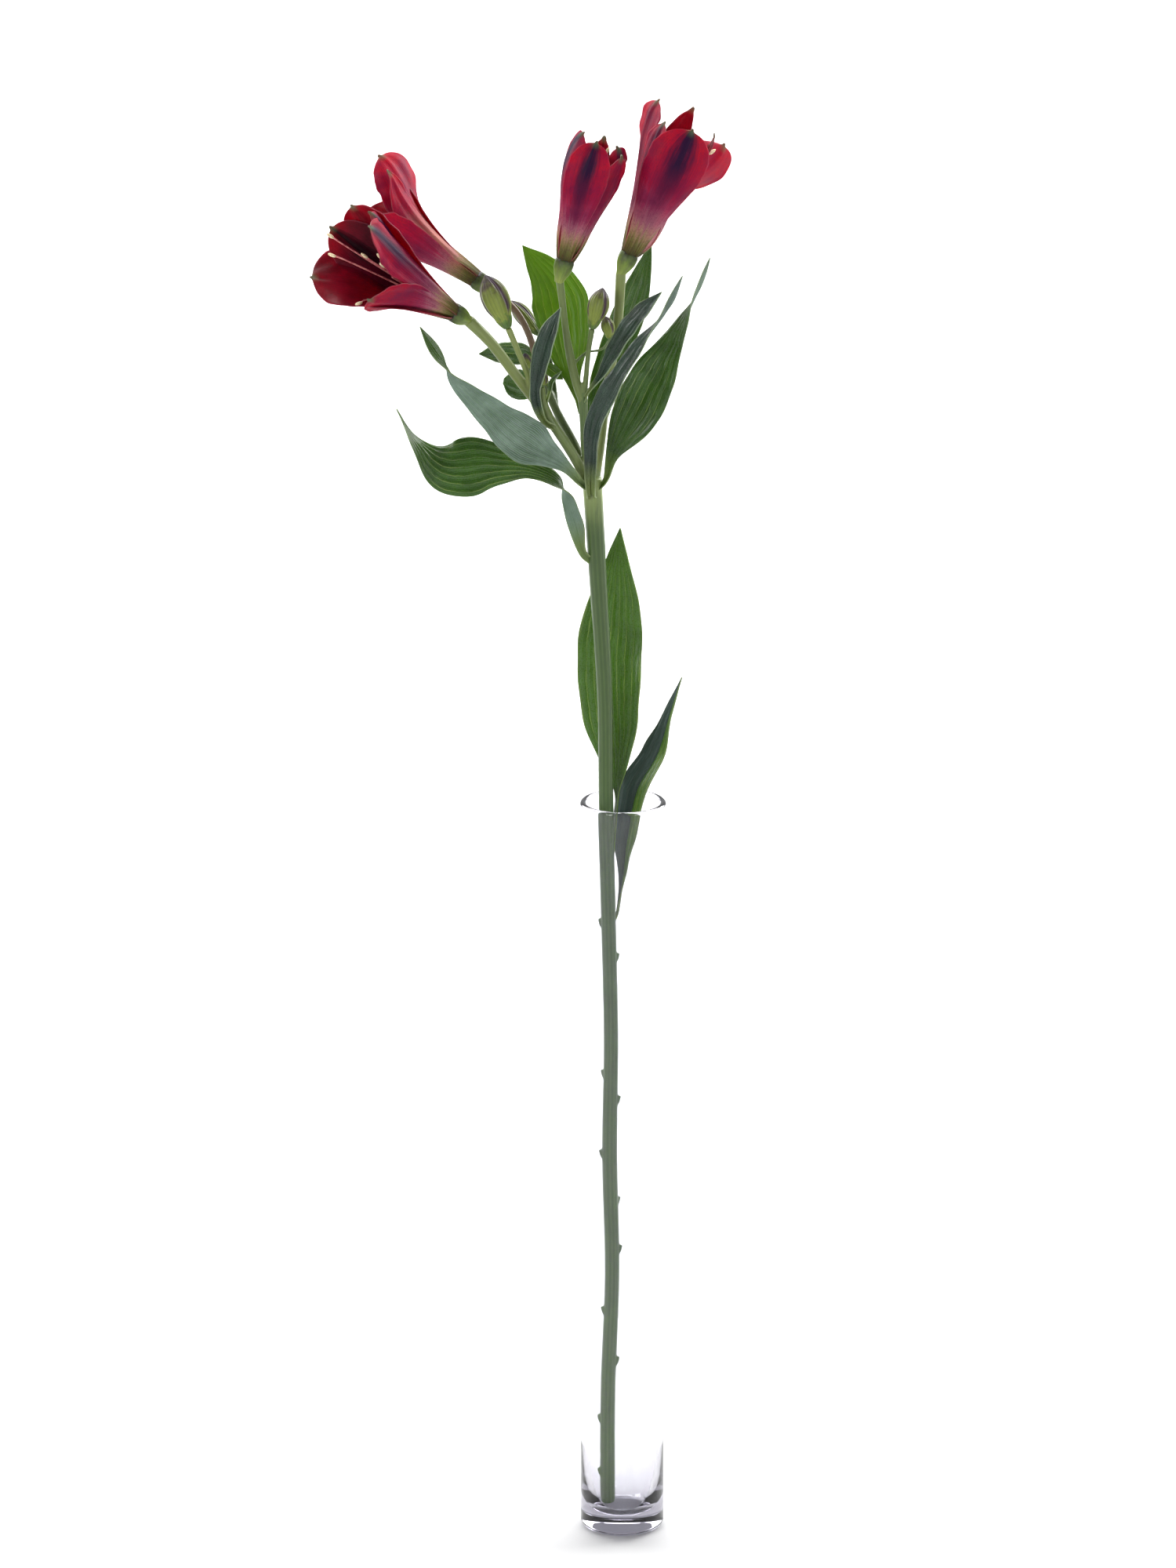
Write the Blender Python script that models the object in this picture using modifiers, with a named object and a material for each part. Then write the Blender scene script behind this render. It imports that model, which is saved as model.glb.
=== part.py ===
"""A cut alstroemeria stem standing in a glass tube vase, with four florets, six buds and its leaves.

Lengths below are millimetres and MM turns them into Blender's metres. The origin is the middle of the
vase's foot, +Z is up, +X is to the right and -Y is the side that the flowers are seen from.
"""

import math

import bmesh
import bpy
import numpy as np
from mathutils import Vector

MM = 0.001
GAP = 0.3  # clearance between pieces that touch on the plant
SEAM = 0.000002  # merge distance in metres, far below any real detail

# Driving dimensions of the vase
VASE_RADIUS = 14.0
VASE_HEIGHT = 255.0
WALL = 1.8
FLOOR = 6.0  # glass under the middle of the tube
BOWL = 24.0  # height over which the inside rounds into the wall
HEEL = 2.7  # rounding between foot and wall
RIM_BEAD = 0.2  # fire-polished lip, thicker than the wall by this on each side

# Driving dimensions of the plant
STEM_FOOT = 8.9  # height of the cut end above the table
WHORL = 367.0  # height at which leaves and flower stalks leave the stem
BLADE = 0.7  # thickness of a leaf
TEPAL = 0.65  # thickness of a petal-like tepal
OVARY_RADIUS = 3.5
OVARY_LENGTH = 6.0

TOWARDS_VIEWER = Vector((0.0, -0.978, 0.208))

# Colours, linear RGB, with roughness
LEAF_GREEN = (0.035, 0.11, 0.03), 0.45
STEM_GREEN = (0.10, 0.19, 0.05), 0.5
BUD_GREEN = (0.16, 0.22, 0.05), 0.5
TEPAL_RED = (0.45, 0.02, 0.05), 0.5
ANTHER_CREAM = (0.72, 0.62, 0.36), 0.7
CLEAR_GLASS = (0.93, 0.94, 0.96), 0.03


def clear_scene():
    """Remove what the open file holds."""
    for thing in list(bpy.data.objects):
        bpy.data.objects.remove(thing)


def make_collection(name):
    """A new collection under the scene's own."""
    collection = bpy.data.collections.new(name)
    bpy.context.scene.collection.children.link(collection)
    return collection


def make_material(name, look, glassy=False):
    """A Principled material of one colour."""
    colour, roughness = look
    material = bpy.data.materials.new(name)
    material.use_nodes = True
    shader = material.node_tree.nodes["Principled BSDF"]
    shader.inputs["Base Color"].default_value = (*colour, 1.0)
    shader.inputs["Roughness"].default_value = roughness
    shader.inputs["Metallic"].default_value = 0.0
    if glassy:
        shader.inputs["Transmission Weight"].default_value = 1.0
        shader.inputs["IOR"].default_value = 1.5
    return material


def add_object(name, data, collection):
    """Link data to a collection as a named object."""
    thing = bpy.data.objects.new(name, data)
    collection.objects.link(thing)
    return thing


def blend(low, high, share):
    """Linear mix of two values."""
    return low + (high - low) * share


def through(values, share):
    """A smooth curve through evenly spaced values or points, read at a share from 0 to 1."""
    values = np.asarray(values, float)
    last = len(values) - 1
    place = min(max(share, 0.0), 1.0) * last
    i = min(int(place), last - 1)
    t = place - i
    p1, p2 = values[i], values[i + 1]
    p0 = values[i - 1] if i > 0 else 2 * p1 - p2
    p3 = values[i + 2] if i + 2 <= last else 2 * p2 - p1
    return 0.5 * (2 * p1 + (p2 - p0) * t + (2 * p0 - 5 * p1 + 4 * p2 - p3) * t**2 + (3 * p1 - p0 - 3 * p2 + p3) * t**3)


def even_route(points, count):
    """Points at equal distances along a smooth curve through the given ones."""
    fine = np.array([through(points, s) for s in np.linspace(0, 1, 40 * len(points))])
    run = np.concatenate([[0], np.cumsum(np.linalg.norm(np.diff(fine, axis=0), axis=1))])
    wanted = np.linspace(0, run[-1], count)
    return np.stack([np.interp(wanted, run, fine[:, k]) for k in range(3)], axis=1)


# Round green parts


def tube(name, route, radii, count, collection, sides=8):
    """A tapering round stalk along a route, as a bevelled curve with filled ends turned into a mesh."""
    curve = bpy.data.curves.new(name, "CURVE")
    curve.dimensions = "3D"
    curve.bevel_depth = MM
    curve.bevel_resolution = (sides - 4) // 2
    curve.use_fill_caps = True
    spline = curve.splines.new("POLY")
    spline.points.add(count - 1)
    for i, place in enumerate(even_route(route, count)):
        spline.points[i].co = (*(place * MM), 1.0)
        spline.points[i].radius = float(through(radii, i / (count - 1)))
    line = add_object(name, curve, collection)
    return made_mesh(line)


def made_mesh(thing):
    """Replace an object by the mesh that its curve or modifiers give, welded shut."""
    name = thing.name
    collection = thing.users_collection[0]
    evaluated = thing.evaluated_get(bpy.context.evaluated_depsgraph_get())
    mesh = bpy.data.meshes.new_from_object(evaluated)
    form = bmesh.new()
    form.from_mesh(mesh)
    bmesh.ops.remove_doubles(form, verts=form.verts, dist=SEAM)
    form.to_mesh(mesh)
    form.free()
    place = thing.matrix_world.copy()
    bpy.data.objects.remove(thing)
    solid = add_object(name, mesh, collection)
    solid.matrix_world = place
    return solid


def fuse(name, pieces, material, collection):
    """Join overlapping pieces into the one closed body that the plant grew."""
    joining = make_collection(name + "_joining")
    for piece in pieces[1:]:
        for home in list(piece.users_collection):
            home.objects.unlink(piece)
        joining.objects.link(piece)
    body = pieces[0]
    union = body.modifiers.new("union", "BOOLEAN")
    union.operation = "UNION"
    union.operand_type = "COLLECTION"
    union.collection = joining
    whole = made_mesh(body)
    for piece in pieces[1:]:
        bpy.data.objects.remove(piece)
    bpy.data.collections.remove(joining)
    for home in list(whole.users_collection):
        home.objects.unlink(whole)
    collection.objects.link(whole)
    whole.name = name
    dress(whole, material)
    return whole


def dress(thing, material):
    """Give an object its one material and soft shading."""
    thing.data.materials.clear()
    thing.data.materials.append(material)
    thing.data.shade_smooth()
    thing.data.set_sharp_from_angle(angle=math.radians(50))


STEM_ROUTE = [
    (-4.9, -3.0, STEM_FOOT),
    (-4.7, -3.5, 50),
    (-3.4, -4.0, 92),
    (-4.2, -4.7, 134),
    (-3.8, -5.4, 175),
    (-4.6, -6.2, 216),
    (-5.6, -7.1, 257),
    (-6.0, -8.3, 293),
    (-8.2, -9.0, 332),
    (-10.2, -9.0, WHORL),
]
STEM_RADII = [2.5, 2.45, 2.4, 2.45, 2.35, 2.35, 2.4, 2.5, 2.8, 3.2]

# Where leaves were stripped from the stem: height and the side of the stem, in degrees from +X
LEAF_SCARS = [
    (217, 170),
    (205, 10),
    (164, 165),
    (155, 5),
    (136, 185),
    (119, 20),
    (102, 0),
    (80, 185),
    (62, -5),
    (41, 175),
    (22, 200),
]
SCAR_REACH = 1.9
SCAR_HEIGHT = 4.2

# Stalks above the whorl: route, radii along it
STALKS = {
    "ray_left_front": (
        [(-10.4, -9.2, 362), (-14.6, -10.8, 372), (-21.6, -12.8, 384), (-28.5, -12.6, 394)],
        [2.0, 1.75, 1.7, 2.0],
    ),
    "stalk_front_left": (
        [(-27.8, -12.6, 393), (-34.6, -13.2, 402), (-42.3, -15.5, 413), (-49.4, -19.1, 421.4)],
        [1.9, 1.75, 1.8, 2.0],
    ),
    "stalk_bud_large": (
        [(-28.0, -12.8, 393), (-30.6, -14.6, 402), (-33.6, -16.6, 410), (-36.9, -18.4, 418.6)],
        [1.2, 1.05, 1.0, 1.1],
    ),
    "stalk_bud_tiny": (
        [(-23.6, -13.0, 387.5), (-25.6, -14.2, 393), (-26.1, -15.8, 398.6)],
        [1.4, 1.3, 0.8],
    ),
    "ray_left_back": (
        [(-10.2, -8.2, 362), (-15.3, -4.8, 375.5), (-22.0, -1.5, 388), (-27.6, 0.8, 402)],
        [1.8, 1.5, 1.4, 1.4],
    ),
    "stalk_back_left": (
        [(-27.2, 0.6, 401), (-30.7, 2.0, 412), (-35.2, 4.0, 419.5), (-42.1, 6.1, 424.7)],
        [1.3, 1.15, 1.15, 1.4],
    ),
    "stalk_bud_left": (
        [(-21.4, -1.8, 387), (-22.8, 2.6, 398), (-24.6, 5.6, 406), (-27.0, 7.2, 410)],
        [0.8, 0.75, 0.75, 0.8],
    ),
    "stalk_bud_mid": (
        [(-24.6, -0.6, 393), (-27.8, -2.4, 397), (-29.6, -4.4, 401)],
        [0.9, 0.8, 0.8],
    ),
    "ray_centre": (
        [(-10.2, -9.2, 362), (-12.4, -9.4, 375), (-12.8, -9.5, 385), (-13.3, -9.5, 395)],
        [1.7, 1.35, 1.35, 1.7],
    ),
    "stalk_centre": (
        [(-13.0, -9.5, 392), (-15.8, -10.5, 401), (-18.4, -12.0, 415), (-20.6, -12.0, 432.8)],
        [1.5, 1.4, 1.15, 1.3],
    ),
    "stalk_bud_right": (
        [(-13.0, -9.6, 392), (-12.2, -11.0, 400), (-11.4, -11.5, 409), (-10.2, -11.5, 416.5)],
        [1.1, 0.9, 0.85, 1.0],
    ),
    "stalk_bud_small": (
        [(-16.4, -11.0, 405), (-12.0, -9.6, 408.6), (-7.2, -8.6, 409.4), (-4.4, -8.5, 412.2)],
        [0.6, 0.5, 0.5, 0.55],
    ),
    "ray_right": (
        [(-10.0, -8.8, 362), (-7.4, -6.4, 378), (-5.4, -4.6, 395), (-2.2, -4.0, 414), (-0.9, -4.0, 433)],
        [1.8, 1.5, 1.5, 1.55, 1.7],
    ),
}


def point_on_stem(height):
    """Middle and radius of the main stem at a height."""
    shares = np.linspace(0, 1, 400)
    places = np.array([through(STEM_ROUTE, s) for s in shares])
    share = float(np.interp(height, places[:, 2], shares))
    return through(STEM_ROUTE, share), float(through(STEM_RADII, share))


def leaf_scar(index, height, side, collection):
    """The stub of a stripped leaf: a small wedge whose torn lip stands off the stem."""
    middle, radius = point_on_stem(height)
    angle = math.radians(side)
    out = np.array([math.cos(angle), math.sin(angle), 0.0])
    up = np.array([0.0, 0.0, 1.0])
    root = middle + out * (radius - 1.2) - up * SCAR_HEIGHT
    knee = middle + out * (radius + 0.1) - up * SCAR_HEIGHT * 0.35
    lip = middle + out * (radius - 1.0 + SCAR_REACH)
    return tube(f"scar_{index}", [root, knee, lip], [0.7, 0.95, 0.55], 4, collection, sides=6)


def build_stem(material, collection):
    """Main stem, leaf scars and every flower stalk as one body."""
    pieces = [tube("stem_main", STEM_ROUTE, STEM_RADII, 34, collection, sides=10)]
    for i, (height, side) in enumerate(LEAF_SCARS):
        pieces.append(leaf_scar(i, height, side, collection))
    for name, (route, radii) in STALKS.items():
        sides = 8 if radii[0] > 1.25 else 6
        pieces.append(tube(name, route, radii, 2 * len(route) + 1, collection, sides))
    return fuse("stem", pieces, material, collection)


# Flat green parts


def sheet(name, along, across, place, thickness, material, collection):
    """A thin solid whose middle surface follows place(u, v), with u from 0 to 1 and v from -1 to 1.

    The grid is split into triangles before it gets its thickness, so that both faces are split alike.
    """
    form = bmesh.new()
    bmesh.ops.create_grid(form, x_segments=along, y_segments=across, size=0.5)
    for vertex in form.verts:
        u = vertex.co.x + 0.5
        v = vertex.co.y * 2
        vertex.co = place(u, v) * MM
    bmesh.ops.triangulate(form, faces=form.faces)
    mesh = bpy.data.meshes.new(name)
    form.to_mesh(mesh)
    form.free()
    blade = add_object(name, mesh, collection)
    thick = blade.modifiers.new("thickness", "SOLIDIFY")
    thick.thickness = thickness * MM
    thick.offset = 0.0
    solid = made_mesh(blade)
    dress(solid, material)
    return solid


class Leaf:
    """A leaf by its midrib, its half-widths and its turn, each list evenly spaced along the blade.

    The turn, in degrees, is 0 where the blade's face looks at the viewer and 90 where it is edge-on.
    A fold, in degrees, lifts both halves off the midrib, and a wave, in millimetres, ripples the margins.
    """

    def __init__(self, midrib, halves, turns, fold=10, wave=0.0, waves=2.0, segments=(13, 4)):
        self.halves = halves
        self.turns = turns
        self.fold = math.radians(fold)
        self.wave = wave
        self.waves = waves
        self.segments = segments
        self.route = even_route(midrib, 120)

    def place(self, u, v):
        """The point of the blade's middle surface at u along and v across."""
        last = len(self.route) - 1
        low = min(int(u * last), last - 1)
        here = Vector(blend(self.route[low], self.route[low + 1], u * last - low))
        before = Vector(self.route[max(low - 4, 0)])
        after = Vector(self.route[min(low + 5, last)])
        along = (after - before).normalized()
        side = along.cross(TOWARDS_VIEWER).normalized()
        face = side.cross(along)
        turn = math.radians(float(through(self.turns, u)))
        width = side * math.cos(turn) + face * math.sin(turn)
        normal = width.cross(along)
        half = max(0.3, float(through(self.halves, u)))
        ripple = self.wave * math.sin(2 * math.pi * self.waves * u) * v * abs(v) * min(1.0, half / 3)
        across = width * (v * half * math.cos(self.fold))
        return here + across + normal * (abs(v) * half * math.sin(self.fold) + ripple)


LEAVES = {
    "leaf_low": Leaf(
        [(-1.5, -5.6, 219), (0.2, -3.0, 231), (1.4, -0.2, 243), (4.6, 2.0, 258), (11.3, 3.6, 270),
         (15.6, 4.0, 284), (19.2, 4.0, 296)],
        [0.8, 1.2, 3.2, 5.4, 6.0, 6.0, 5.4, 3.6, 2.0, 0.3], [80, 50, 40, 38, 38, 40, 42, 50, 60, 70], fold=24,
    ),
    "leaf_low_back": Leaf(
        [(-3.0, -4.0, 238), (-2.0, -2.6, 258), (-3.0, -1.6, 273), (-4.3, -0.2, 290), (-4.3, 0.4, 309),
         (-2.6, -1.0, 329), (-1.1, -3.0, 348.5)],
        [0.8, 0.8, 1.0, 4.6, 8.4, 10.2, 10.8, 10.4, 9.4, 6.8, 3.4, 0.3], [60, 30, 0, 0], fold=6,
        wave=1.0, waves=2.4, segments=(15, 4),
    ),
    "leaf_below_whorl": Leaf(
        [(-13.2, -10.4, 343), (-16.0, -11.0, 353.5), (-20.1, -10.0, 364.6), (-29.5, -8.5, 369.6), (-43.0, -8.0, 370.9),
         (-57.2, -9.0, 370.6), (-66.5, -8.0, 378.2), (-73.2, -6.0, 389.1)],
        [1.6, 2.7, 2.3, 2.4, 3.4, 6.4, 9.2, 8.6, 4.4, 2.2, 0.3], [20, 0, 30, 150, 180, 185, 180, 175, 150, 105, 100],
        fold=6, segments=(18, 4),
    ),
    "leaf_whorl_left": Leaf(
        [(-14.4, -13.0, 366.6), (-19.8, -15.0, 373.2), (-32.6, -18.8, 382.8), (-44.5, -22.5, 394.0), (-53.6, -23.0, 402.7),
         (-57.2, -22.4, 408.0), (-65.2, -20.0, 419.7)],
        [1.6, 2.2, 4.4, 7.5, 7.2, 5.4, 4.2, 3.3, 2.4, 1.9, 0.3], [-20, 5, 0, 0, 5, 10, 20, 40, 100, 150, 170],
        segments=(15, 4),
    ),
    "leaf_whorl_right": Leaf(
        [(-5.5, -10.6, 366.2), (-3.4, -10.2, 375.2), (3.4, -9.5, 387.8), (10.6, -8.5, 402.2), (17.2, -6.8, 414.2),
         (23.7, -5.0, 427.5), (27.6, -3.0, 438.3)],
        [1.5, 2.1, 5.2, 7.8, 8.0, 6.8, 4.8, 3.0, 2.2, 1.5, 0.3], [40, 5, 0, 0, 5, 10, 20, 40, 85, 120, 140],
        segments=(15, 4),
    ),
    "leaf_whorl_front": Leaf(
        [(-10.6, -13.1, 363.5), (-10.4, -14.4, 373), (-9.3, -18.4, 386), (-3.0, -24.0, 401), (5.0, -27.4, 415),
         (13.2, -28.5, 426.5), (18.5, -28.0, 438.3)],
        [2.2, 2.3, 2.8, 4.2, 4.8, 4.4, 3.8, 3.0, 2.2, 1.6, 0.3], [0, 15, 35, 46, 50, 52, 54, 58, 90, 130, 140],
        fold=16, segments=(14, 4),
    ),
    "leaf_whorl_back": Leaf(
        [(-9.0, -5.0, 364.5), (-9.4, -1.2, 375), (-7.4, 3.4, 390), (-2.8, 7.4, 405), (3.0, 10.2, 420.5), (9.0, 12.0, 439.6)],
        [1.5, 2.0, 3.0, 4.2, 5.0, 5.4, 5.4, 4.6, 2.8, 0.3], [0, 0],
    ),
    "bract_right": Leaf(
        [(-11.0, -11.7, 396), (-6.6, -14.8, 403.5), (-0.2, -17.0, 415.5), (5.6, -17.6, 423.6), (12.0, -17.0, 430.4)],
        [0.9, 1.5, 2.8, 3.5, 3.5, 2.7, 0.3], [45, 35], fold=18, segments=(9, 4),
    ),
    "bract_back": Leaf(
        [(-14.4, -6.9, 392.2), (-17.2, -0.6, 401), (-18.9, 4.0, 412.5), (-22.4, 8.6, 426), (-32.6, 12.0, 438.8)],
        [1.5, 2.8, 5.8, 8.2, 9.2, 7.6, 4.4, 0.3], [0, 0], fold=8, segments=(12, 4),
    ),
    "bract_left_back": Leaf(
        [(-28.8, 2.9, 402.4), (-33.0, 6.0, 404.2), (-42.2, 10.0, 403.5), (-46.9, 11.0, 403.0)],
        [1.4, 3.4, 3.6, 2.6, 0.3], [0, 0], segments=(8, 2),
    ),
    "bract_left_under": Leaf(
        [(-27.8, 0.4, 395.6), (-33.0, 3.0, 394.8), (-38.8, 5.5, 395.4)],
        [3.4, 4.6, 4.9, 4.2, 1.6], [0, 0], segments=(8, 4),
    ),
    "bract_left_front": Leaf(
        [(-26.0, -15.2, 388), (-28.3, -16.4, 396), (-26.9, -18.8, 406), (-24.2, -20.2, 416.5), (-20.2, -20.0, 426)],
        [1.6, 1.8, 2.0, 2.8, 3.5, 3.4, 2.4, 0.3], [0, 15, 25, 25, 25], fold=20, segments=(12, 4),
    ),
    "bract_left_inner": Leaf(
        [(-25.3, -0.8, 402.0), (-22.8, -2.8, 400.7), (-19.6, -3.8, 398.2)],
        [1.2, 2.0, 1.8, 0.3], [0, 0], segments=(7, 2),
    ),
    "bract_bud": Leaf(
        [(-23.8, -15.6, 397.0), (-23.2, -16.0, 400.6), (-20.0, -16.6, 404.2)],
        [0.7, 0.8, 0.7, 0.3], [20, 20], segments=(6, 2),
    ),
}


def build_leaf(name, leaf, material, collection):
    """One blade as a thin solid."""
    along, across = leaf.segments
    return sheet(name, along, across, leaf.place, BLADE, material, collection)


# Flowers


class Frame:
    """A flower's own axes: up its axis, towards the viewer, and to the side."""

    def __init__(self, foot, axis):
        self.foot = Vector(foot)
        self.axis = Vector(axis).normalized()
        self.front = (TOWARDS_VIEWER - self.axis * TOWARDS_VIEWER.dot(self.axis)).normalized()
        self.side = self.axis.cross(self.front)

    def outward(self, degrees):
        """The direction away from the axis, 0 at the viewer's side and 90 at the right of the axis."""
        turn = math.radians(degrees)
        return self.front * math.cos(turn) + self.side * math.sin(turn)

    def at(self, height, degrees=0.0, radius=0.0):
        """The point at a height up the axis, on one side of it."""
        return self.foot + self.axis * height + self.outward(degrees) * radius


class Tepal:
    """One tepal by its side of the flower, length, half-width and how far it leans out.

    The leans, in degrees from the flower's axis, are evenly spaced from its foot to its tip. A cup below 1
    makes it flatter than the ring of its fellows.
    """

    def __init__(self, side, length, widest, leans, outer=True, ruffle=0.6, cup=1.0):
        self.side = side
        self.cup = cup
        self.length = length
        self.widest = widest
        self.outer = outer
        self.ruffle = ruffle
        self.foot_radius = 2.7 if outer else 1.9
        steps = 60
        lean = [math.radians(float(through(leans, i / steps))) for i in range(steps + 1)]
        self.leans = lean
        step = length / steps
        self.radii = [self.foot_radius]
        self.heights = [0.0]
        for angle in lean[:-1]:
            self.radii.append(self.radii[-1] + step * math.sin(angle))
            self.heights.append(self.heights[-1] + step * math.cos(angle))

    def half_width(self, u):
        """Half the width: a narrow claw, then a broad round top, or a slim pointed one inside."""
        claw = 0.26 if self.outer else 0.34
        peak = 0.74 if self.outer else 0.66
        if u < peak:
            rise = u / peak
            return self.widest * (claw + (1 - claw) * (rise * rise * (3 - 2 * rise)) ** 1.1)
        fall = (u - peak) / (1 - peak)
        return self.widest * max(0.08, 1 - fall ** (2.4 if self.outer else 1.7)) ** (0.55 if self.outer else 0.8)

    def place(self, frame, base, u, v):
        """The point of the tepal's middle surface at u along and v across, with rows closer near the tip."""
        u = 1 - (1 - u) ** 1.25
        last = len(self.radii) - 1
        i = min(int(u * last), last - 1)
        t = u * last - i
        radius = blend(self.radii[i], self.radii[i + 1], t)
        height = blend(self.heights[i], self.heights[i + 1], t)
        lean = blend(self.leans[i], self.leans[i + 1], t)
        out = frame.outward(self.side)
        round_way = frame.axis.cross(out)
        normal = out * math.cos(lean) - frame.axis * math.sin(lean)
        half = self.half_width(u)
        curl = max(radius * 1.05, 2.5) * (1 + 0.7 * u) * blend(1.0, 1 / self.cup, u)
        angle = v * half / curl
        ripple = self.ruffle * math.sin(5.0 * u * math.pi + self.side) * v * v * u * u
        point = frame.at(base + height) + out * radius
        return point + round_way * (curl * math.sin(angle)) - normal * (curl * (1 - math.cos(angle)) - ripple)


class Floret:
    """A flower: where its stalk ends, which way it points, its tepals and its stamens' spread."""

    def __init__(self, foot, axis, tepals, stamen_length=36, spread=0.16):
        self.frame = Frame(foot, axis)
        self.tepals = tepals
        self.stamen_length = stamen_length
        self.spread = spread


FLORETS = {
    "front_left": Floret(
        (-49.8, -19.2, 421.6), (-0.715, -0.45, 0.535),
        [
            Tepal(45, 51, 8.5, [10, 14, 16, 20]),
            Tepal(150, 49, 10.0, [10, 15, 20, 24], cup=0.8),
            Tepal(252, 49, 11.5, [10, 12, 16, 32, 46], cup=0.5),
            Tepal(98, 48, 6.0, [6, 14, 16, 16], outer=False),
            Tepal(202, 49, 6.5, [6, 12, 18, 24], outer=False, cup=0.6),
            Tepal(320, 47, 9.0, [6, 16, 24, 32], outer=False, cup=0.8),
        ],
    ),
    "back_left": Floret(
        (-42.3, 6.2, 424.9), (-0.80, 0.17, 0.575),
        [
            Tepal(80, 51, 9.0, [4, 4, 20, 26, 6], cup=0.9),
            Tepal(200, 44, 8.5, [6, 14, 18]),
            Tepal(320, 42, 8.5, [6, 14, 18]),
            Tepal(20, 43, 5.5, [6, 10, 8], outer=False),
            Tepal(135, 48, 5.5, [6, 8, 18, 22, 8], outer=False),
            Tepal(255, 42, 5.5, [6, 13, 16], outer=False),
        ],
        stamen_length=32, spread=0.05,
    ),
    "centre": Floret(
        (-20.6, -12.0, 433.3), (0.28, 0.03, 0.96),
        [
            Tepal(342, 42.5, 8.0, [18, 12, 18, -2, -20]),
            Tepal(222, 42.5, 8.0, [18, 10, 16, 2, -18]),
            Tepal(102, 41, 7.5, [20, 10, 16, -6, -24]),
            Tepal(42, 40, 4.5, [8, 5, -8], outer=False),
            Tepal(162, 42, 4.5, [8, 6, -8], outer=False),
            Tepal(282, 40, 4.5, [8, 10, -10], outer=False),
        ],
        stamen_length=30, spread=0.04,
    ),
    "right": Floret(
        (-0.9, -4.0, 433.6), (0.41, 0.08, 0.90),
        [
            Tepal(10, 47, 10.5, [18, 10, 16, 4, -12], cup=0.9),
            Tepal(136, 46, 11.5, [24, 8, 22, 34, 6], cup=0.6),
            Tepal(250, 50, 8.0, [14, 14, 16, -4]),
            Tepal(70, 47, 5.5, [8, 12, 2], outer=False),
            Tepal(190, 50, 5.5, [8, 12, -6], outer=False),
            Tepal(310, 45, 5.5, [8, 10, 0], outer=False),
        ],
        stamen_length=36,
    ),
}

SEAT = OVARY_LENGTH + GAP  # height of the tepals' foot over the end of the stalk
COLLAR = 1.2  # thickness of the disc that the tepals grow from


def turned(name, frame, rings, sides, ribs, rib_depth, material, collection):
    """A closed round body on a flower's axis from (height, radius) rings, with ribs round it.

    It starts as a cone's ring of vertices, and each next ring is that edge loop extruded and scaled.
    """
    form = bmesh.new()
    bmesh.ops.create_circle(form, cap_ends=True, cap_tris=False, segments=sides, radius=1.0)
    floor_face = next(iter(form.faces))
    edges = list(floor_face.edges)
    loop = sorted(floor_face.verts, key=lambda vert: math.atan2(vert.co.y, vert.co.x))
    loops = [loop]
    for _ in rings[1:]:
        grown = bmesh.ops.extrude_edge_only(form, edges=edges)["geom"]
        edges = [part for part in grown if isinstance(part, bmesh.types.BMEdge)]
        fresh = [part for part in grown if isinstance(part, bmesh.types.BMVert)]
        loops.append(sorted(fresh, key=lambda vert: math.atan2(vert.co.y, vert.co.x)))
        for old, new in zip(loops[-2], loops[-1]):
            new.co = old.co.copy()
    bmesh.ops.contextual_create(form, geom=edges)
    for (height, radius), ring in zip(rings, loops):
        for vert in ring:
            angle = math.atan2(vert.co.y, vert.co.x)
            reach = radius * (1 + rib_depth * math.cos(ribs * angle))
            vert.co = frame.at(height, math.degrees(angle), reach) * MM
    bmesh.ops.recalc_face_normals(form, faces=form.faces)
    mesh = bpy.data.meshes.new(name)
    form.to_mesh(mesh)
    form.free()
    body = add_object(name, mesh, collection)
    dress(body, material)
    return body


def build_ovary(name, floret, material, collection):
    """The ribbed green ovary between the stalk and the tepals."""
    rings = [(GAP, 1.7), (1.6, 2.8), (3.4, OVARY_RADIUS), (5.0, OVARY_RADIUS), (OVARY_LENGTH, 3.2)]
    return turned(name, floret.frame, rings, 12, 6, 0.06, material, collection)


def build_tepals(name, floret, material, collection):
    """Six tepals in two layers, fused by the disc at their feet."""
    disc = turned(name + "_disc", floret.frame, [(SEAT, 3.2), (SEAT + COLLAR, 3.2)], 12, 1, 0.0, material, collection)
    pieces = [disc]
    for i, tepal in enumerate(floret.tepals):
        foot = SEAT + 0.4
        size = (9, 4) if tepal.outer else (9, 2)
        pieces.append(
            sheet(
                f"{name}_{i}", *size, lambda u, v, t=tepal: t.place(floret.frame, foot, u, v),
                TEPAL, material, collection,
            )
        )
    return fuse(name, pieces, material, collection)


def build_stamens(name, floret, material, collection):
    """Six filaments with their anthers and the style, fused at their feet."""
    frame = floret.frame
    foot = SEAT + COLLAR + GAP
    pieces = [turned(name + "_disc", frame, [(foot, 0.9), (foot + 1.6, 0.9)], 6, 1, 0.0, material, collection)]
    for i in range(6):
        side = 60 * i + 30
        length = floret.stamen_length * (1 - 0.05 * (i % 3))
        spread = floret.spread * length
        route = [
            frame.at(foot + 0.4, side, 0.5),
            frame.at(foot + length * 0.5, side, 0.5 + spread * 0.3),
            frame.at(foot + length * 0.9, side, 0.6 + spread * 0.7),
            frame.at(foot + length + 2.0, side, 0.8 + spread),
        ]
        radii = [0.42, 0.4, 0.4, 0.4, 0.4, 0.85, 0.9, 0.4]
        pieces.append(tube(f"{name}_{i}", route, radii, len(radii), collection, sides=4))
    style = [frame.at(foot + 0.4), frame.at(foot + floret.stamen_length * 0.8)]
    pieces.append(tube(name + "_style", style, [0.42, 0.4], 2, collection, sides=4))
    return fuse(name, pieces, material, collection)


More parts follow.
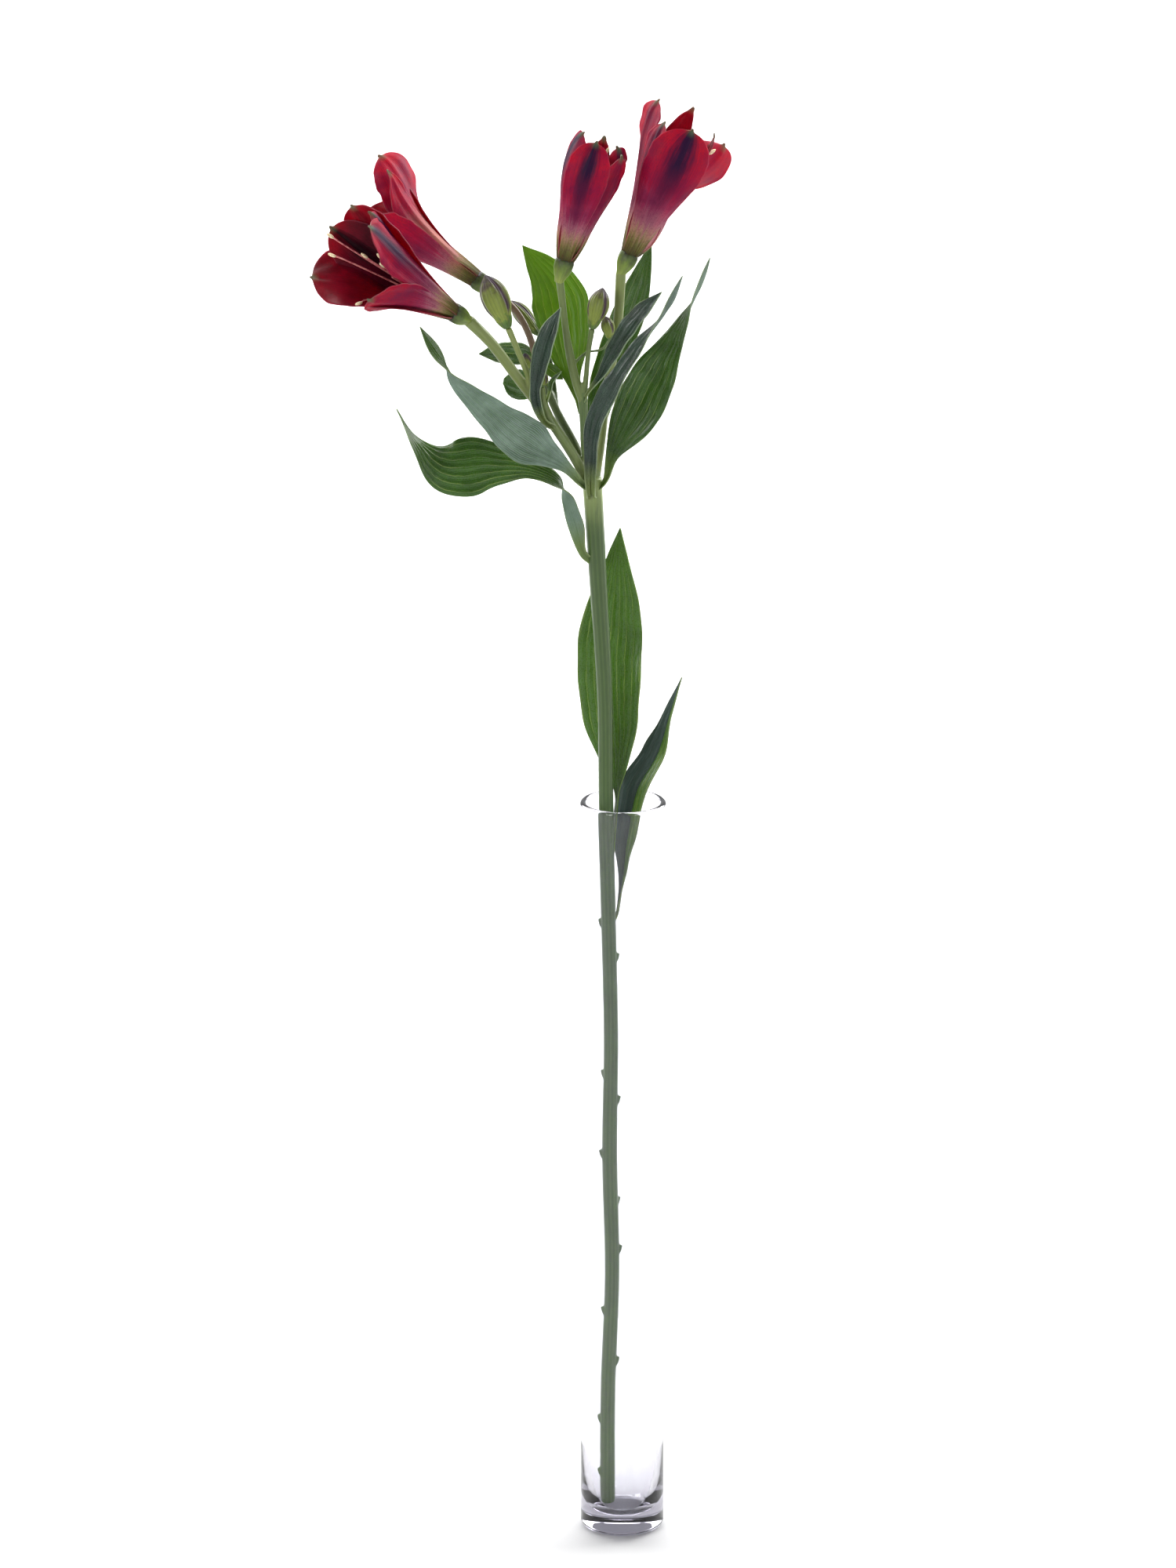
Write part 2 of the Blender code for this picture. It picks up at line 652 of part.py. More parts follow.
# Buds: where the stalk ends, which way the bud points, its length and radius
BUDS = {
    "bud_large": ((-37.0, -18.5, 418.8), (-0.39, 0.03, 0.92), 18.6, 4.6),
    "bud_right": ((-10.2, -11.5, 416.8), (0.25, 0.07, 0.96), 13.6, 3.5),
    "bud_small": ((-4.3, -8.5, 412.6), (-0.2, 0.0, 0.98), 7.6, 2.2),
    "bud_tiny": ((-26.1, -15.8, 398.8), (0.12, -0.06, 1.0), 4.6, 1.6),
    "bud_left_back": ((-27.2, 7.4, 410.2), (-0.66, 0.26, 0.75), 14.2, 2.9),
    "bud_left_mid": ((-29.7, -4.5, 401.2), (-0.35, -0.15, 0.92), 6.4, 1.6),
}


def build_bud(name, foot, axis, length, radius, material, collection):
    """A closed bud: its ovary, a slight waist, then the pointed egg of folded tepals."""
    frame = Frame(foot, axis)
    shape = [(0.0, 0.3), (0.1, 0.5), (0.2, 0.62), (0.32, 0.8), (0.5, 1.0), (0.68, 0.93), (0.84, 0.66), (0.95, 0.32), (1.0, 0.1)]
    rings = [(GAP + share * length, reach * radius) for share, reach in shape]
    return turned(name, frame, rings, 12, 3, 0.05, material, collection)


# The vase


def vase_profile():
    """The section from the middle of the inner floor, up, over the lip and down to the foot."""
    inner = VASE_RADIUS - WALL
    bowl = [(inner * s, FLOOR + BOWL * s**6) for s in (0.0, 0.5, 0.67, 0.8, 0.88, 0.94, 1.0)]
    lip_middle = VASE_RADIUS - WALL / 2
    lip_reach = WALL / 2 + RIM_BEAD
    lip = []
    for step in range(7):
        angle = math.pi * (1 - step / 6)
        lip.append((lip_middle + lip_reach * math.cos(angle), VASE_HEIGHT - lip_reach + lip_reach * math.sin(angle)))
    heel = []
    for step in range(5):
        angle = math.pi / 2 * step / 4
        heel.append((VASE_RADIUS - HEEL + HEEL * math.cos(angle), HEEL - HEEL * math.sin(angle)))
    walls_top = VASE_HEIGHT - 3.0
    return [*bowl, (inner, walls_top), *lip, (VASE_RADIUS, walls_top), *heel, (0.0, 0.0)]


def build_vase(material, collection):
    """The glass tube, turned from its section."""
    form = bmesh.new()
    points = [form.verts.new((radius * MM, 0.0, height * MM)) for radius, height in vase_profile()]
    for start, end in zip(points, points[1:]):
        form.edges.new((start, end))
    mesh = bpy.data.meshes.new("vase")
    form.to_mesh(mesh)
    form.free()
    vase = add_object("vase", mesh, collection)
    turn = vase.modifiers.new("turn", "SCREW")
    turn.steps = 32
    turn.render_steps = 32
    turn.use_merge_vertices = True
    turn.merge_threshold = SEAM
    solid = made_mesh(vase)
    dress(solid, material)
    return solid


def build():
    """Every piece of the stem and its vase."""
    clear_scene()
    parts = make_collection("alstroemeria_stem")
    leaf_green = make_material("leaf", LEAF_GREEN)
    stem_green = make_material("stem", STEM_GREEN)
    bud_green = make_material("bud", BUD_GREEN)
    tepal_red = make_material("tepal", TEPAL_RED)
    anther_cream = make_material("anther", ANTHER_CREAM)
    glass = make_material("glass", CLEAR_GLASS, glassy=True)
    build_vase(glass, parts)
    build_stem(stem_green, parts)
    for name, leaf in LEAVES.items():
        build_leaf(name, leaf, leaf_green, parts)
    for name, floret in FLORETS.items():
        build_ovary(f"ovary_{name}", floret, stem_green, parts)
        build_tepals(f"tepals_{name}", floret, tepal_red, parts)
        build_stamens(f"stamens_{name}", floret, anther_cream, parts)
    for name, (foot, axis, length, radius) in BUDS.items():
        build_bud(name, foot, axis, length, radius, bud_green, parts)


build()
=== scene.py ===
# %% [markdown]
# # A cut alstroemeria stem in a glass tube vase
# The object is one flowering stem of alstroemeria, the Peruvian lily. It stands dry in a narrow tube of clear
# glass, with two green leaves low down, a ring of leaves under the flowers, and above them four red florets and
# six green buds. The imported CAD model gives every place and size. This script keeps it as a fixed frame and
# grows a finer piece round each solid: thin blades with veins, ruffled tepals, ribbed stalks and clear glass.

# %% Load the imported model
import math

import bmesh
import bpy
import numpy as np
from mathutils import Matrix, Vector


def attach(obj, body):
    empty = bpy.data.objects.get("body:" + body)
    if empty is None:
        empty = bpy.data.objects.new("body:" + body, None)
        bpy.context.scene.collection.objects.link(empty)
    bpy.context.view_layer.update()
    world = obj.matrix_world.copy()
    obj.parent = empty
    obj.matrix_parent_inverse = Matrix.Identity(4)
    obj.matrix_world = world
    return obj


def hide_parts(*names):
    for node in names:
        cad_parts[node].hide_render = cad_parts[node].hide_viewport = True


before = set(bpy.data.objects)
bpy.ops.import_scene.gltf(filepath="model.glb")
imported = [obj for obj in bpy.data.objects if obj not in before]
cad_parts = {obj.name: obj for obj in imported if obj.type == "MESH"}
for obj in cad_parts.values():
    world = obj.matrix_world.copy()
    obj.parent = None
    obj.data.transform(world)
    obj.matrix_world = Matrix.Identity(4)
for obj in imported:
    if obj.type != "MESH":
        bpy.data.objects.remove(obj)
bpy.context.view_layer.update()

print("CAD nodes:", len(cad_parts))

# %% [markdown]
# ## The camera
# A lens sees the flower from a little above, so the rim of the tube is an open ellipse and the foot a deeper
# one. The two ellipses give the tilt, 17 degrees, and the height of the tube in the picture gives the lens.
# Everything is judged through this camera, so it comes first.

# %% Set the camera
MM = 0.001  # every length of the plant is in millimetres, and Blender works in metres
CAMERA_TILT = 17.18  # degrees below the horizon

camera = bpy.data.objects.new("camera", bpy.data.cameras.new("camera"))
bpy.context.scene.collection.objects.link(camera)
camera.location = (-0.0115, -2.5, 1.03365)
camera.rotation_euler = (math.radians(90 - CAMERA_TILT), 0, 0)
camera.data.lens = 183.42
camera.data.sensor_width = 36
camera.data.clip_end = 50
bpy.context.scene.camera = camera
print("camera height over the floor, m:", camera.location.z)

# %% [markdown]
# ## Two helpers for colour and nodes
# A colour picked on a screen is an sRGB hex value, but Blender mixes light in linear values, so one
# function turns the first into the second. Another adds a shader node, sets it and links it, which keeps each
# material below down to one line a node.

# %% Colour and node helpers
def to_linear(code):
    """The linear RGBA of an sRGB hex colour such as '#8fa04a'."""
    parts = [int(code[i:i + 2], 16) / 255 for i in (1, 3, 5)]
    return (*[c / 12.92 if c <= 0.04045 else ((c + 0.055) / 1.055) ** 2.4 for c in parts], 1.0)


def add_node(tree, kind, sockets=None, stops=(), **settings):
    """Add a node with its settings, and give its sockets values, colours or links."""
    node = tree.nodes.new("ShaderNode" + kind)
    for name, value in settings.items():
        setattr(node, name, value)
    for i, (place, colour) in enumerate(stops):
        ramp = node.color_ramp.elements
        stop = ramp[i] if i < len(ramp) else ramp.new(place)
        stop.position, stop.color = place, to_linear(colour)
    for socket, value in (sockets or {}).items():
        value = value.outputs[0] if isinstance(value, bpy.types.Node) else value
        if isinstance(value, bpy.types.NodeSocket):
            tree.links.new(value, node.inputs[socket])
        else:
            node.inputs[socket].default_value = to_linear(value) if isinstance(value, str) else value
    return node


def new_material(name):
    """An empty node material, and its tree."""
    material = bpy.data.materials.new(name)
    material.use_nodes = True
    material.node_tree.nodes.clear()
    return material, material.node_tree


print("mid green is", [round(c, 3) for c in to_linear("#4f7a35")])

# %% [markdown]
# ## The studio
# The flower was lit on a white sweep: light comes from behind and from both sides, and bounces up off the
# floor, so thin leaves and petals glow and a round stalk is brightest along its edges. A large matt floor, a
# world that is brighter behind than in front, and broad area lamps give that. Small lamps would give hard
# shadows, which a studio tent doesn't have. Two more lamps hang over the floor, one behind and one far in front,
# and make it white. They have a grid, so they don't reach the flower. The floor just in front stays darker,
# because the glass mirrors it and would turn milky.

# %% Floor, lamps and world
FLOOR_REACH = 14  # metres from the middle to each side
FLOOR_DROP = 0.0002  # metres under the foot of the vase, so the two don't flicker
GRID_ANGLE = 110  # degrees


def build_floor():
    """A matt white floor, far wider than the view."""
    form = bmesh.new()
    bmesh.ops.create_grid(form, x_segments=1, y_segments=1, size=FLOOR_REACH)
    bmesh.ops.translate(form, verts=form.verts, vec=(0, 0, -FLOOR_DROP))
    mesh = bpy.data.meshes.new("floor")
    form.to_mesh(mesh)
    form.free()
    floor = bpy.data.objects.new("floor", mesh)
    bpy.context.scene.collection.objects.link(floor)
    material, tree = new_material("matt_white_paper")
    paper = add_node(tree, "BsdfPrincipled", {"Base Color": "#b6b6b6", "Roughness": 0.9})
    add_node(tree, "OutputMaterial", {"Surface": paper})
    mesh.materials.append(material)


def soft_lamp(name, place, target, size, power):
    """A square area lamp that looks at a target."""
    data = bpy.data.lights.new(name, "AREA")
    data.shape = "SQUARE"
    data.size = size
    data.energy = power
    lamp = bpy.data.objects.new(name, data)
    bpy.context.scene.collection.objects.link(lamp)
    lamp.location = place
    lamp.rotation_euler = (Vector(target) - Vector(place)).to_track_quat("-Z", "Y").to_euler()
    return lamp


build_floor()
middle = (0, 0, 0.3)
for name, place, target, size, power in (
        ("lamp_back_left", (-2.0, 1.5, 1.5), middle, 1.6, 84),
        ("lamp_back_right", (2.0, 1.5, 1.5), middle, 1.6, 125),
        ("lamp_front_left", (-1.9, -2.2, 1.2), middle, 1.1, 46),
        ("lamp_front_right", (2.0, -2.3, 0.9), middle, 1.1, 30),
        ("lamp_floor_back", (0, 2.6, 3.2), (0, 2.0, 0), 3.0, 135),
        ("lamp_floor_front", (0, -5.4, 3.2), (0, -5.4, 0), 3.0, 230)):
    lamp = soft_lamp(name, place, target, size, power)
    if name.startswith("lamp_floor"):
        lamp.data.spread = math.radians(GRID_ANGLE)

world = bpy.data.worlds.new("white_tent")
world.use_nodes = True
sky = world.node_tree
sky.nodes.clear()
way = add_node(sky, "SeparateXYZ", {0: add_node(sky, "TexCoord").outputs["Generated"]})
glow = add_node(sky, "MapRange", {"Value": way.outputs["Y"], 1: -1.0, 2: 1.0, 3: 0.12, 4: 0.9})
tent = add_node(sky, "Background", {"Color": "#fbfcff", "Strength": glow})
# straight behind the flower the tent is plain white from every side
plain = add_node(sky, "Background", {"Color": "#ffffff", "Strength": 1.0})
seen = add_node(sky, "LightPath").outputs["Is Camera Ray"]
add_node(sky, "OutputWorld", {"Surface": add_node(sky, "MixShader", {"Fac": seen, 1: tent, 2: plain})})
bpy.context.scene.world = world
bpy.context.scene.view_settings.view_transform = "Standard"

# %% [markdown]
# ## From a grid to a grown form
# Leaves, petals, stalks and buds are all sheets that nature has bent, rolled or closed. So each starts as
# Blender's own flat grid, whose points know how far along (u, 0 to 1) and how far across (v, -1 to 1) they are,
# and a formula then moves them. Where a form closes on itself, points that meet are merged. What a material
# needs to know, such as the distance to the margin, is kept as an attribute on the points.

# %% Curves and shaped grids
MERGE = 0.000001  # metres: points nearer than this are one


def sampled(values, shares):
    """A smooth curve through evenly spaced values or points, read at shares from 0 to 1."""
    values = np.asarray(values, float)
    last = len(values) - 1
    spot = np.clip(shares, 0, 1) * last
    i = np.minimum(spot.astype(int), last - 1)
    t = (spot - i)[:, None] if values.ndim == 2 else spot - i
    wide = np.concatenate([[2 * values[0] - values[1]], values, [2 * values[-1] - values[-2]]])
    p0, p1, p2, p3 = wide[i], wide[i + 1], wide[i + 2], wide[i + 3]
    bend = (2 * p0 - 5 * p1 + 4 * p2 - p3) * t**2 + (3 * p1 - p0 - 3 * p2 + p3) * t**3
    return 0.5 * (2 * p1 + (p2 - p0) * t + bend)


def even_route(points):
    """A function that gives the point at each share of a smooth curve's length, and that length."""
    fine = sampled(points, np.linspace(0, 1, 60 * len(points)))
    run = np.concatenate([[0], np.cumsum(np.linalg.norm(np.diff(fine, axis=0), axis=1))])

    def at(shares):
        wanted = np.clip(shares, 0, 1) * run[-1]
        return np.stack([np.interp(wanted, run, fine[:, k]) for k in range(3)], axis=1)

    return at, run[-1]


def unit(vectors):
    """The same directions with a length of one."""
    return vectors / np.linalg.norm(vectors, axis=-1, keepdims=True)


def shaped_grid(along, across, place):
    """A grid whose points move to place(u, v), which also gives the attributes to keep."""
    form = bmesh.new()
    bmesh.ops.create_grid(form, x_segments=along, y_segments=across, size=0.5)
    u = np.array([vert.co.x + 0.5 for vert in form.verts])
    v = np.array([vert.co.y * 2 for vert in form.verts])
    spots, marks = place(u, v)
    for vert, spot in zip(form.verts, spots * MM):
        vert.co = spot
    for name, values in marks.items():
        layer = form.verts.layers.float.new(name)
        for vert, value in zip(form.verts, np.broadcast_to(values, u.shape)):
            vert[layer] = float(value)
    return form


def to_object(name, forms, materials):
    """One object at the origin from one or more bmeshes, softly shaded."""
    mesh = bpy.data.meshes.new(name)
    whole = bmesh.new()
    for form in forms:
        part = bpy.data.meshes.new("part")
        form.to_mesh(part)
        form.free()
        whole.from_mesh(part)
        bpy.data.meshes.remove(part)
    whole.to_mesh(mesh)
    whole.free()
    for material in materials:
        mesh.materials.append(material)
    mesh.shade_smooth()
    piece = bpy.data.objects.new(name, mesh)
    bpy.context.scene.collection.objects.link(piece)
    return piece


def apply_modifiers(piece):
    """Give the piece the mesh that its modifiers make."""
    evaluated = piece.evaluated_get(bpy.context.evaluated_depsgraph_get())
    mesh = bpy.data.meshes.new_from_object(evaluated)
    piece.modifiers.clear()
    piece.data = mesh


def close_seams(form):
    """Merge the points where a sheet meets itself, and turn its faces outwards."""
    bmesh.ops.remove_doubles(form, verts=form.verts, dist=MERGE)
    bmesh.ops.recalc_face_normals(form, faces=form.faces)
    return form


def thicken(piece, thickness):
    """Turn a sheet into a blade with its second material on the other face."""
    thick = piece.modifiers.new("thickness", "SOLIDIFY")
    thick.thickness = thickness * MM
    thick.offset = 0.0
    thick.material_offset = 1
    apply_modifiers(piece)


def stand_in(piece, node):
    """Put a finished piece in the place of its CAD node."""
    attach(piece, "root")
    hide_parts(node)
    size = np.ptp(np.array([corner[:] for corner in piece.bound_box]), axis=0) / MM
    print(f"{piece.name}: {size.round(1)} mm, {len(piece.data.polygons)} faces")


at, length = even_route([(0, 0, 0), (3, 0, 4)])
print("a straight route of", round(float(length), 3), "mm")

# %% [markdown]
# ## The stem and its stalks
# The stem and every flower stalk grew as one body, so no line shows where one leaves another. Tubes that only
# overlap would show such lines. Here the tubes and the stubs of stripped leaves are joined, remeshed with small
# voxels into one skin, and smoothed. Twelve fine ribs run along it, about 1.3 mm apart.

# %% Routes of the stem and stalks
STEM_ROUTE = [
    (-4.9, -3.0, 8.9), (-4.7, -3.5, 50), (-3.4, -4.0, 92), (-4.2, -4.7, 134), (-3.8, -5.4, 175),
    (-4.6, -6.2, 216), (-5.6, -7.1, 257), (-6.0, -8.3, 293), (-8.2, -9.0, 332), (-10.2, -9.0, 367),
]
STEM_RADII = [2.5, 2.45, 2.4, 2.45, 2.35, 2.35, 2.4, 2.5, 2.8, 3.2]

# each stalk: its route, radii along it, and its tint, which is 0 for the stem's green, above 0 for a pinker
# stalk and below 0 for a yellower one
STALKS = {
    "ray_left_front": ([(-10.4, -9.2, 362), (-14.6, -10.8, 372), (-21.6, -12.8, 384), (-28.5, -12.6, 394)],
                       [2.0, 1.75, 1.7, 2.0], -0.3),
    "stalk_front_left": ([(-27.8, -12.6, 393), (-34.6, -13.2, 402), (-42.3, -15.5, 413), (-49.8, -19.3, 421.8)],
                         [1.9, 1.75, 1.8, 2.0], -0.7),
    "stalk_bud_large": ([(-28.0, -12.8, 393), (-30.6, -14.6, 402), (-33.6, -16.6, 410), (-37.0, -18.5, 419.0)],
                        [1.2, 1.05, 1.0, 1.1], -0.8),
    "stalk_bud_tiny": ([(-23.6, -13.0, 387.5), (-25.6, -14.2, 393), (-26.1, -15.8, 399.0)],
                       [1.4, 1.3, 0.8], -0.4),
    "ray_left_back": ([(-10.2, -8.2, 362), (-15.3, -4.8, 375.5), (-22.0, -1.5, 388), (-27.6, 0.8, 402)],
                      [1.8, 1.5, 1.4, 1.4], 0.1),
    "stalk_back_left": ([(-27.2, 0.6, 401), (-30.7, 2.0, 412), (-35.2, 4.0, 419.5), (-42.4, 6.2, 425.0)],
                        [1.3, 1.15, 1.15, 1.4], 0.9),
    "stalk_bud_left": ([(-21.4, -1.8, 387), (-22.8, 2.6, 398), (-24.6, 5.6, 406), (-27.1, 7.3, 410.3)],
                       [0.8, 0.75, 0.75, 0.8], 0.0),
    "stalk_bud_mid": ([(-24.6, -0.6, 393), (-27.8, -2.4, 397), (-29.7, -4.5, 401.3)], [0.9, 0.8, 0.8], 0.0),
    "ray_centre": ([(-10.2, -9.2, 362), (-12.4, -9.4, 375), (-12.8, -9.5, 385), (-13.3, -9.5, 395)],
                   [1.7, 1.35, 1.35, 1.7], 0.0),
    "stalk_centre": ([(-13.0, -9.5, 392), (-15.8, -10.5, 401), (-18.4, -12.0, 415), (-20.6, -12.0, 433.4)],
                     [1.5, 1.4, 1.15, 1.3], -0.4),
    "stalk_bud_right": ([(-13.0, -9.6, 392), (-12.2, -11.0, 400), (-11.4, -11.5, 409), (-10.2, -11.5, 417.0)],
                        [1.1, 0.9, 0.85, 1.0], -0.3),
    "stalk_bud_small": ([(-16.4, -11.0, 405), (-12.0, -9.6, 408.6), (-7.2, -8.6, 409.4), (-4.3, -8.5, 412.8)],
                        [0.6, 0.5, 0.5, 0.55], -0.2),
    "ray_right": ([(-10.0, -8.8, 362), (-7.4, -6.4, 378), (-5.4, -4.6, 395), (-2.2, -4.0, 414),
                   (-0.9, -4.0, 433.8)], [1.8, 1.5, 1.5, 1.55, 1.7], -0.75),
}
# where leaves were stripped off: height and side of the stem, in degrees from +X
LEAF_SCARS = [(217, 170), (205, 10), (164, 165), (155, 5), (136, 185), (119, 20), (102, 0), (80, 185), (62, -5),
              (41, 175), (22, 200)]
GROWN = [(STEM_ROUTE, STEM_RADII, 0.0), *STALKS.values()]
print("stem and stalks:", len(GROWN), "scars:", len(LEAF_SCARS))

# %% [markdown]
# A tube is a grid rolled up: along the grid is along the stalk, across it is once round. The two long edges
# meet and are merged, and the end rows shrink to a point, which closes the ends.

# %% Rolled tubes
def rolled_tube(route_points, radii, along, around):
    """A closed round stalk along a route, from a rolled grid."""
    route, length = even_route(route_points)

    def place(u, v):
        inner = np.clip((u - 0.01) / 0.98, 0, 1)
        here = route(inner)
        ahead = unit(route(inner + 0.02) - route(inner - 0.02))
        right = unit(np.cross(ahead, [0.0, 1.0, 0.0]))
        up = np.cross(right, ahead)
        ends = (u > 0.001) & (u < 0.999)
        radius = (sampled(radii, inner) * ends)[:, None]
        angle = (np.pi * v)[:, None]
        return here + (right * np.cos(angle) + up * np.sin(angle)) * radius, {}

    return close_seams(shaped_grid(along, around, place))


def stem_at(height):
    """Middle and radius of the main stem at a height."""
    shares = np.linspace(0, 1, 400)
    places = sampled(STEM_ROUTE, shares)
    share = np.array([np.interp(height, places[:, 2], shares)])
    return sampled(STEM_ROUTE, share)[0], float(sampled(STEM_RADII, share)[0])


def scar_tube(height, side):
    """The torn stub of a stripped leaf, which stands off the stem like a small lip."""
    centre, radius = stem_at(height)
    out = np.array([math.cos(math.radians(side)), math.sin(math.radians(side)), 0.0])
    up = np.array([0.0, 0.0, 1.0])
    root = centre + out * (radius - 1.2) - up * 4.2
    knee = centre + out * (radius + 0.05) - up * 1.4
    lip = centre + out * (radius + 0.95)
    return rolled_tube([root, knee, lip], [0.6, 0.95, 0.35], 12, 10)


tubes = [rolled_tube(STEM_ROUTE, STEM_RADII, 240, 28)]
tubes += [rolled_tube(route, radii, 16 * len(route), 20) for route, radii, _ in STALKS.values()]
tubes += [scar_tube(*scar) for scar in LEAF_SCARS]
print("tubes to join:", len(tubes))

# %% [markdown]
# The material needs to know where it is on each stalk. After the remesh, each point looks up the nearest
# stalk's route: which way round it the point faces, and how pink or yellow that stalk is. The direction is kept
# as a cosine and a sine, which have no seam. The ribs are raised from it as real shape.

# %% One skin over the stem and stalks
VOXEL = 0.35
RIBS = 12
RIB_HEIGHT = 0.02


def mark_nearest_stalk(mesh):
    """Store each point's side of its stalk and that stalk's tint, and raise the ribs."""
    count = len(mesh.vertices)
    spots = np.empty(count * 3)
    mesh.vertices.foreach_get("co", spots)
    spots = spots.reshape(-1, 3) / MM
    best = np.full(count, np.inf)
    turn = np.zeros(count)
    tint = np.zeros(count)
    for points, radii, colour in GROWN:
        route, length = even_route(points)
        shares = np.linspace(0, 1, int(length))
        line = route(shares)
        low, high = line.min(0) - 5, line.max(0) + 5
        near = np.where(((spots > low) & (spots < high)).all(1))[0]
        gaps = np.linalg.norm(spots[near][:, None] - line[None], axis=2)
        nearest = gaps.argmin(1)
        score = gaps.min(1) / sampled(radii, shares)[nearest]
        won = score < best[near]
        index = near[won]
        ahead = unit(np.gradient(line, axis=0))[nearest[won]]
        right = unit(np.cross(ahead, [0.0, 1.0, 0.0]))
        out = spots[index] - line[nearest[won]]
        best[index] = score[won]
        turn[index] = np.arctan2((out * np.cross(right, ahead)).sum(1), (out * right).sum(1))
        tint[index] = colour
    for name, values in {"round_x": np.cos(turn), "round_y": np.sin(turn), "tint": tint}.items():
        mesh.attributes.new(name, "FLOAT", "POINT").data.foreach_set("value", values.astype(np.float32))
    normals = np.empty(count * 3)
    mesh.vertices.foreach_get("normal", normals)
    rise = RIB_HEIGHT * np.cos(RIBS * turn) * MM
    mesh.vertices.foreach_set("co", (spots * MM + normals.reshape(-1, 3) * rise[:, None]).ravel())
    mesh.update()


def build_stem(material):
    """Join, remesh and smooth the tubes."""
    piece = to_object("stem_ribbed", tubes, [material])
    skin = piece.modifiers.new("one_skin", "REMESH")
    skin.mode = "VOXEL"
    skin.voxel_size = VOXEL * MM
    calm = piece.modifiers.new("calm", "SMOOTH")
    calm.iterations = 6
    calm.factor = 0.5
    apply_modifiers(piece)
    mark_nearest_stalk(piece.data)
    piece.data.materials.clear()
    piece.data.materials.append(material)
    piece.data.shade_smooth()
    stand_in(piece, "stem")


# %% [markdown]
# The skin of a stem is living green tissue under a thin wax, so it has a soft shine and light goes a little way
# in. The part in the vase is painted a darker, stronger green, as painted shade for the stem inside the glass,
# and the swollen ring where the leaves leave the stem is pale. The colour is a ramp over the height, in metres,
# and flecks and ribs lie over it.

# %% Skin of the stem
def stalk_skin(name):
    """The stem's ribbed green skin, yellower or pinker on some stalks."""
    material, tree = new_material(name)
    where = add_node(tree, "TexCoord").outputs["Object"]
    side_x, side_y, tint = [
        add_node(tree, "Attribute", attribute_name=mark).outputs["Fac"] for mark in ("round_x", "round_y", "tint")]
    angle = add_node(tree, "Math", {0: side_y, 1: side_x}, operation="ARCTAN2")
    ribs = add_node(tree, "Math", {0: angle, 1: float(RIBS)}, operation="MULTIPLY")
    wave = add_node(tree, "Math", {0: ribs}, operation="COSINE")
    ridge = add_node(tree, "MapRange", {"Value": wave, 1: -0.4, 2: 1.0})
    # flecks 0.4 mm wide and 4 mm long follow the stem
    stretch = add_node(tree, "Mapping", {"Vector": where, "Scale": (2200.0, 2200.0, 220.0)})
    fleck = add_node(tree, "TexNoise", {"Vector": stretch, "Scale": 1.0, "Detail": 3.0})
    height = add_node(tree, "SeparateXYZ", {0: where}).outputs["Z"]
    # painted shade: the darker, stronger greens up to 0.236 m stand for the stem in shade inside the glass
    base = add_node(tree, "ValToRGB", {"Fac": height}, stops=[
        (0.0, "#38560f"), (0.236, "#2a4a0a"), (0.262, "#334b19"), (0.35, "#314718"), (0.364, "#78864c"),
        (0.377, "#46592a"), (0.42, "#43592a")])
    pale = add_node(tree, "Math", {0: ridge, 1: 0.09}, operation="MULTIPLY")
    ribbed = add_node(tree, "MixRGB", {"Fac": pale, "Color1": base, "Color2": "#8aa566"})
    spots = add_node(tree, "MapRange", {"Value": fleck, 1: 0.52, 2: 0.75, 3: 0.0, 4: 0.5})
    flecked = add_node(tree, "MixRGB", {"Fac": spots, "Color1": ribbed, "Color2": "#2c4026"})
    pink = add_node(tree, "MapRange", {"Value": tint, 1: 0.0, 2: 1.0, 3: 0.0, 4: 0.75})
    blushed = add_node(tree, "MixRGB", {"Fac": pink, "Color1": flecked, "Color2": "#6f4a40"})
    yellow = add_node(tree, "MapRange", {"Value": tint, 1: 0.0, 2: -1.0, 3: 0.0, 4: 0.75})
    sunny = add_node(tree, "MixRGB", {"Fac": yellow, "Color1": blushed, "Color2": "#7f8748"})
    bump = add_node(tree, "Bump", {"Height": fleck, "Strength": 0.35, "Distance": 0.00008})
    skin = add_node(tree, "BsdfPrincipled", {
        "Base Color": sunny, "Roughness": 0.42, "Normal": bump, "Subsurface Weight": 0.15,
        "Subsurface Radius": (0.5, 1.0, 0.2), "Subsurface Scale": 0.0008})
    add_node(tree, "OutputMaterial", {"Surface": skin})
    return material


build_stem(stalk_skin("stem_skin_green"))

# %% [markdown]
# ## What a leaf's face looks like
# An alstroemeria leaf is a thin blade with a waxy skin, and its veins run side by side from base to tip. Its
# two faces differ: one is silvery, because wax and tiny pleats scatter light, and the other is a plainer green
# with pale veins. Some leaves near the flowers lie in shade, and for them a darker blue-green copy of the green
# face paints that shade and the bluish sheen of their wax. One that stands behind the stem has the lamps behind
# it, and a brighter yellow-green copy paints its glow, on top of the real light through it. One low leaf is
# folded, and the half turned from the light has painted shade. A Principled shader gives the waxy skin, and a
# Translucent one mixed in gives the light that comes through. The veins are drawn from an attribute that counts
# them across the blade, so they meet at both ends as real ones do.

# %% Leaf face material
MIDRIB = 50.0  # the veins are counted from this at the midrib, so that no count is below 0


